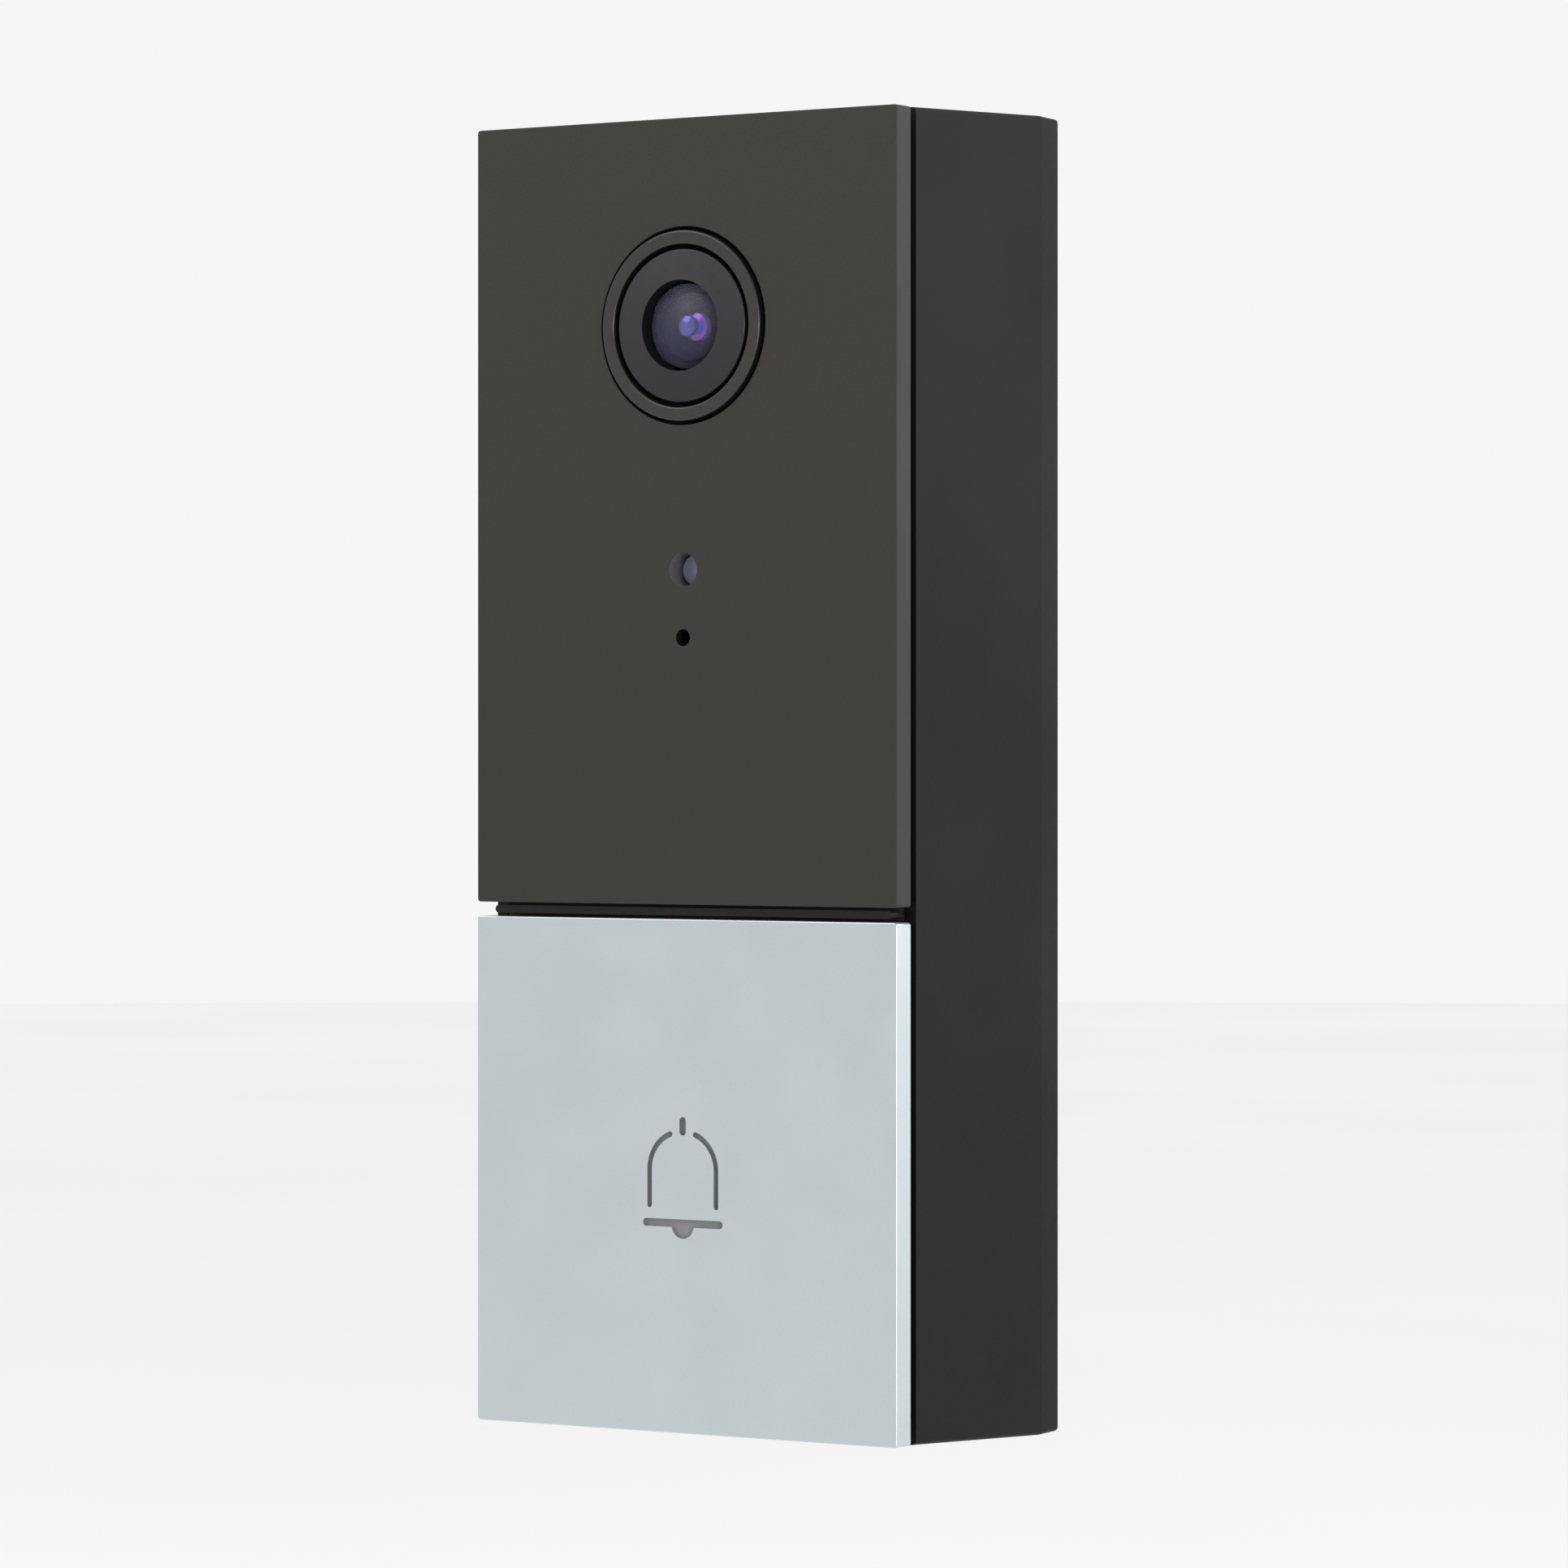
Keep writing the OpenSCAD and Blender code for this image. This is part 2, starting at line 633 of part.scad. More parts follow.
module front_frame() {
  z_top = frame_h / 2;
  hollow_w = spigot_w - 2 * spigot_t;
  hollow_h = spigot_h - 2 * spigot_t;
  color("#2b2a28") difference() {
    union() {
      difference() {
        frame_skin();
        // Hollow behind the skin
        intersection() {
          slab(hollow_w, hollow_h, y_skin_back, y_spigot + 1);
          slab(frame_w, z_top - z_split - 1.6, y_skin_back, y_spigot + 1, 0, (z_top + z_split + 1.6) / 2);
        }
        // Hollow behind the button floor
        intersection() {
          slab(hollow_w, hollow_h, y_floor_back, y_spigot + 1);
          slab(frame_w, z_split + z_top + 1.7, y_floor_back, y_spigot + 1, 0, (z_split - z_top + 1.7) / 2);
        }
      }
      // Floor of the button pocket
      translate([-hollow_w / 2 - 0.4, y_floor_front, -hollow_h / 2 - 0.4])
        cube([hollow_w + 0.8, floor_t, z_split + hollow_h / 2 + 0.4]);
      divider_rib();
      intersection() {
        union() {
          at_bosses() rod(frame_boss_r, y_skin_back - tiny, y_boss);
          at_holes(main_holes) rod(standoff_r, y_skin_back - tiny, y_main_front);
          at_camera_holes() rod(cam_post_r, y_skin_back - tiny, y_cam_board);
        }
        slab(spigot_w, spigot_h, y_front, 0);
      }
    }
    // Pocket for the push plate's carrier
    slab(pocket_w, pocket_h, y_front, y_floor_front, 0, z_pocket);
    // Seat and opening for the infrared lamp board
    rod(led_board_or + fit_gap, y_front, y_frame_front + led_seat_d, 0, cam_z);
    rod(led_board_or - 0.9, y_front, y_skin_back + 1, 0, cam_z);
    // Light pipe and microphone channel
    rod(sensor_hole_r - fit_gap + 0.15, y_front, y_skin_back + 1, 0, sensor_z);
    rod(mic_hole_r, y_front, y_skin_back + 1, 0, mic_z);
    // Openings in the button floor
    rod(boot_hole_r, y_front, y_floor_back + 1, 0, z_push);
    for (sx = [-1, 1], sz = [-1, 1]) {
      slab(hook_w + 2 * slide_gap + 0.2, hook_t + 2 * slide_gap + 0.2, y_floor_front - 1, y_floor_back + 1,
        sx * hook_x, z_pocket + sz * hook_z);
      rod(pad_r + fit_gap, y_floor_front - 1, y_floor_front + pad_sink, sx * pad_x, z_pocket + sz * pad_z);
    }
    // Tapped holes
    at_bosses() rod(frame_screw_r + thread_gap, y_boss - 7, y_boss + 1);
    at_holes(main_holes) rod(board_screw_r + thread_gap, y_main_front - board_screw_l, y_main_front + 1);
    at_camera_holes() rod(board_screw_r + thread_gap, y_cam_board - board_screw_l, y_cam_board + 1);
  }
}

module frame_screws() {
  color("#9a9c9e") at_bosses() screw_y(frame_screw_r, frame_screw_l, head_r, head_h, y_screw_seat, 0, 0);
}

module cover_holes(y0, y1, grow) {
  rod(cover_hole_r + grow, y0, y1, 0, cam_z);
  rod(sensor_hole_r + grow, y0, y1, 0, sensor_z);
  rod(mic_hole_r + grow, y0, y1, 0, mic_z);
}

module upper_cover() {
  color("#484643") difference() {
    along_y(y_front, y_plate_back) translate([0, z_cover_bottom + cover_h / 2])
      round_rect(front_w, cover_h, plate_r);
    cover_holes(y_front - 1, y_plate_back + 1, 0);
  }
}

module cover_tape() {
  z0 = z_split + rib_h / 2 + 1;
  z1 = frame_h / 2 - 0.6;
  color("#1b1b1b") difference() {
    translate([-frame_w / 2 + 0.6, y_plate_back, z0]) cube([frame_w - 1.2, tape_t, z1 - z0]);
    cover_holes(y_plate_back - 1, y_frame_front + 1, 0.5);
  }
}

// ---- camera ----

module camera_ring() {
  // Raised ring with an inner ledge that carries the window disc
  edge = 0.25;
  color("#434240") turned([
    [ring_ir, y_ring + edge], [ring_ir + edge, y_ring], [ring_or - edge, y_ring], [ring_or, y_ring + edge],
    [ring_or, y_frame_front], [ledge_r, y_frame_front], [ledge_r, y_disc_back], [ring_ir, y_disc_back]
  ], 0, cam_z);
}

module camera_window() {
  edge = 0.12;
  color("#464447") turned([
    [aperture_r, y_disc], [disc_r - edge, y_disc + disc_rise], [disc_r, y_disc + disc_rise + edge],
    [disc_r, y_disc_back], [aperture_r, y_disc_back]
  ], 0, cam_z);
}

module led_board() {
  color("#1f4a33") difference() {
    rod(led_board_or, y_led_board, y_led_board + led_board_t, 0, cam_z);
    rod(led_board_ir, y_led_board - 1, y_led_board + led_board_t + 1, 0, cam_z);
  }
}

module infrared_leds() {
  led_orbit = (led_board_ir + ledge_r) / 2;
  color("#cfc9b0") for (i = [0 : led_count - 1]) translate([0, 0, cam_z]) rotate([0, i * 360 / led_count, 0])
    slab(1.5, 1.1, y_led_board - led_h, y_led_board, 0, led_orbit);
}

module lens_barrel() {
  y_thread = y_skin_back + 0.8;
  color("#17171a") turned([
    [lens_plug_r + thread_gap, y_lens + lens_lip], [barrel_r, y_lens + lens_lip], [barrel_r, y_thread],
    [barrel_r - 0.25, y_thread], [barrel_r - 0.25, y_holder - 0.3], [inner_lens_r, y_holder - 0.3],
    [inner_lens_r, y_lens + lens_t + 3.2], [2.9, y_lens + lens_t + 2.2], [3.1, y_lens + lens_t],
    [lens_plug_r + thread_gap, y_lens + lens_t]
  ], 0, cam_z);
}

module front_lens() {
  // Domed glass: a ball cut to the lens, with a plug that sits in the barrel's bore
  dome_r = (lens_r * lens_r + sag * sag) / (2 * sag);
  color("#4a4658") translate([0, 0, cam_z]) intersection() {
    translate([0, y_lens - sag + dome_r, 0]) sphere(dome_r, $fn = 96);
    union() {
      rod(lens_r, y_lens - sag - 1, y_lens + lens_lip);
      rod(lens_plug_r, y_lens, y_lens + lens_t);
    }
  }
}

module inner_lens() {
  color("#4b49a8") rod(inner_lens_r, y_lens + 4.6, y_lens + 6.2, 0, cam_z);
}

module lens_holder() {
  bore = barrel_r - 0.25 + thread_gap;
  color("#202022") difference() {
    union() {
      rod(holder_tube_r, y_holder - 5.4, y_holder + 0.5, 0, cam_z);
      slab(holder_w, holder_h, y_holder, y_cam_board, 0, cam_z);
    }
    rod(bore, y_holder - 6, y_holder - 0.3 + tiny, 0, cam_z);
    rod(2.4, y_holder - 1, y_holder + 2, 0, cam_z);
    // Chamber for the sliding filter and for the image sensor behind it
    slab(holder_w - 2 * slot_wall, holder_h - 2 * slot_wall, y_holder + slot_wall, y_cam_board + 1, 0, cam_z);
  }
}

module filter_slider() {
  color("#2e2e31") difference() {
    slab(slider_w, slider_h, y_slider, y_slider + slider_t, -filter_travel / 2, cam_z);
    for (x = [0, -filter_travel]) rod(glass_r, y_slider - 1, y_slider + slider_t + 1, x, cam_z);
  }
}

module day_filter() {
  color("#86c7d8", 0.6) rod(glass_r, y_slider + 0.3, y_slider + slider_t - 0.2, 0, cam_z);
}

module night_glass() {
  color("#d9e4e6", 0.5) rod(glass_r, y_slider + 0.3, y_slider + slider_t - 0.2, -filter_travel, cam_z);
}

module filter_coil() {
  // Small coil box on top of the holder that drives the filter
  color("#a5552d") slab(6, 3, y_holder + 0.7, y_cam_board - 0.2, 0, cam_z + holder_h / 2 + 1.5);
}

module image_sensor() {
  color("#5b5f86") slab(6.4, 5.4, y_cam_board - 0.9, y_cam_board, 0, cam_z);
}

module camera_board() {
  color("#1d5236") difference() {
    slab(cam_board_w, cam_board_h, y_cam_board, y_cam_back, 0, cam_z);
    at_camera_holes() rod(board_screw_r + screw_gap, y_cam_board - 1, y_cam_back + 1);
  }
}

module camera_screws() {
  color("#9a9c9e") at_camera_holes()
    screw_y(board_screw_r, board_screw_l, small_head_r, small_head_h, y_cam_back, 0, 0);
}

module camera_flex() {
  // Ribbon from the back of the camera board down to the back of the main board
  y_high = y_cam_back + conn_h;
  y_low = y_main_back + conn_h;
  z_drop = z_main_top + 1;
  color("#c98a2e") translate([-flex_w / 2, 0, 0]) rotate([90, 0, 90]) linear_extrude(flex_w) polygon([
    [y_high, z_cam_conn + 1], [y_high + flex_t, z_cam_conn + 1], [y_high + flex_t, z_drop],
    [y_low + flex_t, z_drop - 2], [y_low + flex_t, z_main_conn - 1], [y_low, z_main_conn - 1],
    [y_low, z_drop - 2 + flex_t], [y_high, z_drop + flex_t]
  ]);
}

module flex_connectors() {
  color("#e8e2d2") {
    slab(conn_w, conn_d, y_cam_back, y_cam_back + conn_h, 0, z_cam_conn);
    slab(conn_w, conn_d, y_main_back, y_main_back + conn_h, 0, z_main_conn);
  }
}

// ---- light sensor and microphone ----

module light_pipe() {
  y_flange = y_skin_back + 1;
  y_end = y_main_front - sensor_h - 0.2;
  pipe_r = sensor_hole_r - fit_gap;
  color("#70788c", 0.7) turned([
    [0, y_front + pipe_recess], [pipe_r, y_front + pipe_recess], [pipe_r, y_skin_back],
    [pipe_r + 1, y_skin_back], [pipe_r + 1, y_flange], [1.1, y_flange], [1.1, y_end], [0, y_end]
  ], 0, sensor_z);
}

module light_sensor() {
  color("#d8d2c0") slab(2, 2, y_main_front - sensor_h, y_main_front, 0, sensor_z);
}

module mic_membrane() {
  color("#101010") rod(mic_hole_r + 0.4, y_plate_back, y_frame_front, 0, mic_z);
}

module mic_boot() {
  color("#2a2a2a") difference() {
    rod(2, y_skin_back, y_main_front - mic_h, 0, mic_z);
    rod(0.6, y_skin_back - 1, y_main_front, 0, mic_z);
  }
}

module microphone() {
  color("#c0b27a") difference() {
    slab(3.8, 3, y_main_front - mic_h, y_main_front, 0, mic_z);
    rod(0.4, y_main_front - mic_h - 1, y_main_front - 0.4, 0, mic_z);
  }
}

// ---- main board ----

module board_outline(h, y0, y1, z, holes) {
  difference() {
    slab(board_w, h, y0, y1, 0, z);
    at_holes(holes) rod(board_screw_r + screw_gap, y0 - 1, y1 + 1);
    at_bosses() rod(boss_r + 0.5, y0 - 1, y1 + 1);
  }
}

module main_board() {
  color("#1d5236") board_outline(main_h, y_main_front, y_main_back, z_main, main_holes);
}

module processor() {
  color("#26272b") slab(12, 12, y_main_back, y_main_back + 1.2, 8, z_push + 11);
}

module memory_chips() {
  color("#2d2e33") for (i = [0, 1]) slab(8, 5, y_main_back, y_main_back + 1, 8, z_push - 1 - 6.5 * i);
}

module radio_shield() {
  can_t = 0.3;
  color("#b4b7b9") difference() {
    slab(13, 16, y_main_back, y_main_back + 2, -9, z_push + 8);
    slab(13 - 2 * can_t, 16 - 2 * can_t, y_main_back - 1, y_main_back + 2 - can_t, -9, z_push + 8);
  }
}

module antenna() {
  color("#3b3320") translate([antenna_x, y_main_back + 1, z_antenna - antenna_l / 2])
    cube([antenna_t, antenna_w, antenna_l]);
}

module antenna_cable() {
  r = 0.5;
  x_end = antenna_x + antenna_t + r;
  y_run = y_main_back + 3.6;
  z_start = z_push + 19;
  color("#e0e0dc") {
    wire([
      [-13, y_main_back, z_start], [-13, y_run, z_start], [x_end, y_run, z_start],
      [x_end, y_run, z_antenna - 6]
    ], r);
  }
}

module board_screws() {
  color("#9a9c9e") {
    l = board_screw_l + board_t - 0.4;
    at_holes(main_holes) screw_y(board_screw_r, l, small_head_r, small_head_h, y_main_back, 0, 0);
    at_holes(power_holes) screw_y(board_screw_r, l, small_head_r, small_head_h, y_power_front, 0, 0, -1);
  }
}

module board_header() {
  color("#1c1c1c") slab(16, 4, y_main_back, y_power_front, 0, z_power + 2);
}

// ---- power board ----

module power_board() {
  color("#1d5236") board_outline(power_h, y_power_front, y_power_back, z_power, power_holes);
}

module bridge_rectifier() {
  color("#29292c") slab(6.5, 6, y_power_back, y_power_back + 2.4, 11, z_power_bottom + 15);
}

module power_inductor() {
  color("#4c4a46") slab(7, 7, y_power_back, y_power_back + 4, 9.5, z_power_bottom + 23);
}

module power_capacitors() {
  color("#b9bcc0") for (x = [-7, 0.5]) rod(3.1, y_power_back, y_power_back + 4.6, x, z_power_bottom + 21);
}

module terminal_block() {
  body_top = z_term + terminal_h / 2;
  color("#23282c") difference() {
    slab(terminal_w, terminal_h, y_power_back, y_term, 0, z_term);
    for (s = [-1, 1]) {
      // Screw well and wire entry of each terminal
      rod(terminal_screw_r + 0.5, y_contact, y_term + 1, s * terminal_pitch / 2, z_term);
      rod(1.2, y_power_back + 2, y_term + 1, s * terminal_pitch / 2, z_term);
      translate([s * terminal_pitch / 2 - contact_w / 2, y_contact, body_top - terminal_h - 1])
        cube([contact_w, 3, terminal_h / 2]);
    }
  }
}

module terminal_contacts() {
  color("#c9a23f") for (s = [-1, 1]) difference() {
    slab(contact_w, contact_w, y_contact, y_contact + contact_t, s * terminal_pitch / 2, z_term);
    rod(1 + screw_gap, y_contact - 1, y_contact + contact_t + 1, s * terminal_pitch / 2, z_term);
  }
}

module terminal_screws() {
  color("#b8bbbd") for (s = [-1, 1])
    screw_y(1, 4.4, terminal_screw_r - 0.3, 1.1, y_contact + contact_t, s * terminal_pitch / 2, z_term);
}

// ---- speaker ----

module speaker_frame() {
  color("#303236") difference() {
    translate([-speaker_w / 2, y_speaker - speaker_d / 2, z_speaker]) cube([speaker_w, speaker_d, speaker_h]);
    translate([-speaker_w / 2 + 1.2, y_speaker - speaker_d / 2 + 1.2, z_speaker - 1])
      cube([speaker_w - 2.4, speaker_d - 2.4, speaker_h - 0.2]);
  }
}

module speaker_cone() {
  w = speaker_w - 2.4;
  d = speaker_d - 2.4;
  color("#6d6f73") translate([0, y_speaker, z_speaker + 1]) {
    translate([-w / 2, -d / 2, 0]) cube([w, d, 0.3]);
    for (s = [-1, 1]) translate([s * (w / 2 - d / 2), 0, 0]) cylinder(r = d / 2 - 1, h = 0.6);
    translate([-(w - d) / 2, -d / 2 + 1, 0]) cube([w - d, d - 2, 0.6]);
  }
}

module speaker_magnet() {
  color("#8c8f92") translate([-8, y_speaker - speaker_d / 2 + 1, z_speaker + speaker_h])
    cube([16, speaker_d - 2, 1.2]);
}

module speaker_gasket() {
  color("#1a1a1a") translate([0, y_speaker, z_floor]) difference() {
    translate([-speaker_w / 2, -speaker_d / 2, 0]) cube([speaker_w, speaker_d, gasket_t]);
    translate([-speaker_w / 2 + 1.6, -speaker_d / 2 + 1.4, -1])
      cube([speaker_w - 3.2, speaker_d - 2.8, gasket_t + 2]);
  }
}

module speaker_mesh() {
  color("#4a4a4a")
    translate([-speaker_w / 2 + 1.6 + fit_gap, y_speaker - speaker_d / 2 + 1.4 + fit_gap, z_floor])
    cube([speaker_w - 3.2 - 2 * fit_gap, speaker_d - 2.8 - 2 * fit_gap, 0.3]);
}

module speaker_leads() {
  z_tap = z_main_bottom + 4;
  color("#b02a24") for (s = [-1, 1]) wire([
    [s * 10, y_speaker, z_speaker + speaker_h], [s * 10, y_speaker, z_tap], [s * 10, y_main_back, z_tap]
  ], 0.45);
}

// ---- push button ----

module icon_stroke(s) {
  // One side of the bell: a straight side, a shoulder arc, round ends
  centre = [s * (bell_half - bell_arc_r), bell_shoulder];
  tip = [centre[0] + s * bell_arc_r * cos(bell_arc_end), centre[1] + bell_arc_r * sin(bell_arc_end)];
  far = 3 * bell_arc_r;
  translate([s * bell_half - stroke_w / 2, bell_foot]) square([stroke_w, bell_shoulder - bell_foot]);
  // The round ends are a hair narrower than the stroke, so no edges only touch
  translate([s * bell_half, bell_foot]) circle(stroke_w / 2 - tiny);
  translate(tip) circle(stroke_w / 2 - tiny);
  intersection() {
    translate(centre) difference() {
      circle(bell_arc_r + stroke_w / 2);
      circle(bell_arc_r - stroke_w / 2);
    }
    translate(centre) polygon([
      [0, 0], [s * far, 0], [s * far, far], [s * far * cos(bell_arc_end), far * sin(bell_arc_end)]
    ]);
  }
}

module bell_icon() {
  for (s = [-1, 1]) icon_stroke(s);
  translate([0, stem_z]) round_rect(bar_w, stem_l, bar_w / 2 - tiny);
  round_rect(2 * bar_half, bar_w, bar_w / 2 - tiny);
  intersection() {
    translate([0, -bar_w / 4]) circle(clapper_r + bar_w / 4);
    translate([-5, -10]) square([10, 10]);
  }
}

module button_plate() {
  color("#c1c8cc") difference() {
    along_y(y_front, y_plate_back) translate([0, z_push]) round_rect(front_w, push_h, plate_r);
    along_y(y_front - 1, y_front + icon_d) translate([0, icon_z]) bell_icon();
  }
}

module button_carrier() {
  color("#303030") {
    slab(carrier_w, carrier_h, y_plate_back, y_carrier_back, 0, z_pocket);
    rod(boot_plug_r + 0.3, y_carrier_back - tiny, y_boot_tip, 0, z_push);
    for (sx = [-1, 1], sz = [-1, 1]) {
      slab(hook_w, hook_t, y_carrier_back - tiny, y_carrier_back + hook_len,
        sx * hook_x, z_pocket + sz * hook_z);
      slab(hook_w, hook_t + hook_catch, y_floor_back + 0.1, y_carrier_back + hook_len,
        sx * hook_x, z_pocket + sz * (hook_z - hook_catch / 2));
    }
  }
}

module switch_boot() {
  web = 0.4;
  color("#585858") turned([
    [0, y_boot_tip], [boot_plug_r, y_boot_tip], [boot_plug_r, y_floor_back - web],
    [boot_hole_r - 0.7, y_floor_back - web], [boot_hole_r - 0.7, y_floor_front], [boot_hole_r, y_floor_front],
    [boot_hole_r, y_floor_back], [boot_hole_r + 1.2, y_floor_back], [boot_hole_r + 1.2, y_floor_back + 0.5],
    [boot_hole_r - 0.7, y_floor_back + 0.5], [boot_hole_r - 0.7, y_floor_back], [boot_plug_r, y_floor_back],
    [boot_plug_r, y_plunger], [0, y_plunger]
  ], 0, z_push);
}

module return_pads() {
  color("#585858") for (sx = [-1, 1], sz = [-1, 1]) turned([
    [0, y_carrier_back], [pad_r * 0.5, y_carrier_back], [pad_r, y_floor_front],
    [pad_r, y_floor_front + pad_sink], [0, y_floor_front + pad_sink]
  ], sx * pad_x, z_pocket + sz * pad_z);
}

module switch_case() {
  color("#3c3e42") difference() {
    slab(switch_w, switch_w, y_switch, y_main_front, 0, z_push);
    rod(plunger_r + slide_gap, y_switch - 1, y_main_front - 0.4, 0, z_push);
  }
}

module switch_plunger() {
  color("#8b2a22") rod(plunger_r, y_plunger, y_main_front - 0.4 - push_travel - slide_gap, 0, z_push);
}

module reset_switch() {
  color("#3c3e42") difference() {
    slab(4.6, 4.6, y_power_back, y_power_back + reset_switch_h, reset_x, reset_z);
    rod(0.9 + slide_gap, y_power_back + 0.3, y_power_back + reset_switch_h + 1, reset_x, reset_z);
  }
}

module reset_key() {
  y_collar = y_wall_front - 0.3;
  color("#d8d8d8") {
    rod(reset_r, y_collar - tiny, y_recess + 0.3, reset_x, reset_z);
    rod(reset_r + 0.9, y_collar - 1, y_collar, reset_x, reset_z);
    rod(reset_r - 0.1, y_power_back + reset_switch_h + reset_travel + 0.3, y_collar - 1 + tiny,
      reset_x, reset_z);
    rod(0.9, y_power_back + 0.3 + reset_travel + slide_gap, y_collar - 1, reset_x, reset_z);
  }
}

rear_housing();
wall_bracket();
security_screw();
front_seal();
front_frame();
frame_screws();
cover_tape();
upper_cover();
camera_ring();
camera_window();
led_board();
infrared_leds();
lens_barrel();
front_lens();
inner_lens();
lens_holder();
filter_slider();
day_filter();
night_glass();
filter_coil();
image_sensor();
camera_board();
camera_screws();
camera_flex();
light_pipe();
light_sensor();
mic_membrane();
mic_boot();
microphone();
main_board();
processor();
memory_chips();
radio_shield();
antenna();
antenna_cable();
board_screws();
board_header();
flex_connectors();
power_board();
bridge_rectifier();
power_inductor();
power_capacitors();
terminal_block();
terminal_contacts();
terminal_screws();
speaker_frame();
speaker_cone();
speaker_magnet();
speaker_gasket();
speaker_mesh();
speaker_leads();
switch_case();
switch_plunger();
switch_boot();
return_pads();
button_plate();
button_carrier();
reset_switch();
reset_key();
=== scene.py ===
"""Looks of a wired video doorbell, modelled round its CAD frame."""

import json
from contextlib import contextmanager
from math import cos, pi, radians, sin

import bmesh
import bpy
from bpy.props import FloatProperty, FloatVectorProperty, IntProperty, PointerProperty
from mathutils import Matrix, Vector

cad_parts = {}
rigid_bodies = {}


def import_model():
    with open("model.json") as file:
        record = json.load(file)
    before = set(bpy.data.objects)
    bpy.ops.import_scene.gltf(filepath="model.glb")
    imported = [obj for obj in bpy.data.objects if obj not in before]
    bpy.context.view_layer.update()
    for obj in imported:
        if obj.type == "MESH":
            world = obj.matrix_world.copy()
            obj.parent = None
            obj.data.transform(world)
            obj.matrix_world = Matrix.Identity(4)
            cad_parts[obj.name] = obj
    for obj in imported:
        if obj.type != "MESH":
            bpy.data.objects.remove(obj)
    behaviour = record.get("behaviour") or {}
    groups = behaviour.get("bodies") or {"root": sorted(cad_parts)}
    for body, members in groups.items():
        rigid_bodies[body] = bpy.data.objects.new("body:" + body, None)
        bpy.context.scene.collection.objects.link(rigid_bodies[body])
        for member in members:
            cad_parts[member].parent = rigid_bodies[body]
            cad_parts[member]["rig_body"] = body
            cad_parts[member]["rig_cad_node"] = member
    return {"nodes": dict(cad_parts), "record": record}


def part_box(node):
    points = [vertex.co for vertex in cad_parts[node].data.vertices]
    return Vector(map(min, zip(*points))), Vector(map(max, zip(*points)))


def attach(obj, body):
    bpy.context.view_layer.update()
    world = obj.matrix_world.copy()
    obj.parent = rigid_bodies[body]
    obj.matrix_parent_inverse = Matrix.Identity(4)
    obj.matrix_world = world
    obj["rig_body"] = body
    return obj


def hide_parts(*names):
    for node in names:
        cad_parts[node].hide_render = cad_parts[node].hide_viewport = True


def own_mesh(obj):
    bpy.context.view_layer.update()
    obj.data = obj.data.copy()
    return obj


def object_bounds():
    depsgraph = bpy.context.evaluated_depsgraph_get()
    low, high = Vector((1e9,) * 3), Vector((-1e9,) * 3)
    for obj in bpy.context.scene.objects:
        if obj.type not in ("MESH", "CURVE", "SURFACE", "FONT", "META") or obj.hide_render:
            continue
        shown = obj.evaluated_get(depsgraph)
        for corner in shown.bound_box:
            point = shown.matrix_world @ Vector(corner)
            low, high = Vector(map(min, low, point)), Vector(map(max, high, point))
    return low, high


bl_info = {
    "name": "Video Doorbell",
    "version": (1, 0, 0),
    "blender": (4, 5, 0),
    "location": "View3D > Sidebar > Doorbell",
    "description": "Builds the finished pieces of a wired video doorbell round its CAD frame",
    "category": "Object",
}

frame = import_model()
CAD_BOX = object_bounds()

MM = 0.001
TURN_STEPS = 96
SMOOTH_ANGLE = radians(32)
SAME_PLACE = 2e-6
HAIR = 0.01 * MM

# fixed sizes inside the lens
BORE_WALL = 0.45 * MM
BORE_STEPS = 5
THROAT_RADIUS = 1.3 * MM
THREAD_PITCH = 0.5 * MM
THREAD_CREST = 0.25 * MM
THREAD_ROOT = 0.45 * MM
BARREL_HEAD = 2 * MM
PLUG_STEP = 0.5 * MM
PLUG_WALL = 0.4 * MM
HOLLOW_RISE = 1.2 * MM
ELEMENT_DEPTH = 0.9 * MM
ELEMENT_RISE = 0.22 * MM

# fixed sizes of the bell
ARC_INSET = 0.2 * MM
ARC_END = 70
BELL_BELOW = 2 * MM
BELL_ABOVE = 12 * MM

# fixed sizes of the studio
FLOOR_RADIUS = 6.0
AIR_LIGHT = 0.92
SENSOR_WIDTH = 36
LAMPS = (
    ("key_light", (-0.55, -0.75, 0.75), 0.7, 5.0),
    ("side_light", (0.72, 0.72, 0.3), 0.8, 2.5),
    ("edge_light", (0.92, -0.62, 0.04), 0.2, 5.0),
)


# ---- sizes and colours that a user would change ----


def length(name, description, default):
    """Size in metres, shown in the scene's own units."""
    return FloatProperty(name=name, description=description, default=default, min=0, precision=5,
                         subtype="DISTANCE", unit="LENGTH")


def colour(name, description, default):
    """Linear colour with a picker."""
    return FloatVectorProperty(name=name, description=description, default=default, size=3, min=0, max=1,
                               subtype="COLOR")


class CaseSizes(bpy.types.PropertyGroup):
    """Sizes of the moulded case and of the wall bracket."""

    corner_round: length("Corner", "Radius of the case's upright corners", 0.45 * MM)
    rim_round: length("Rim", "Rounding of the case's front edge", 0.22 * MM)
    parting_round: length("Parting edge", "Rounding of the edge at the parting line", 0.2 * MM)
    rear_round: length("Rear edge", "Rounding of the edge at the wall", 0.3 * MM)
    strip_depth: length("Rear strip", "Depth of the strip behind the parting line", 3.1 * MM)
    bracket_round: length("Bracket corner", "Radius of the wall bracket's corners", 2.5 * MM)
    bracket_edge: length("Bracket edge", "Rounding of the wall bracket's edges", 0.25 * MM)


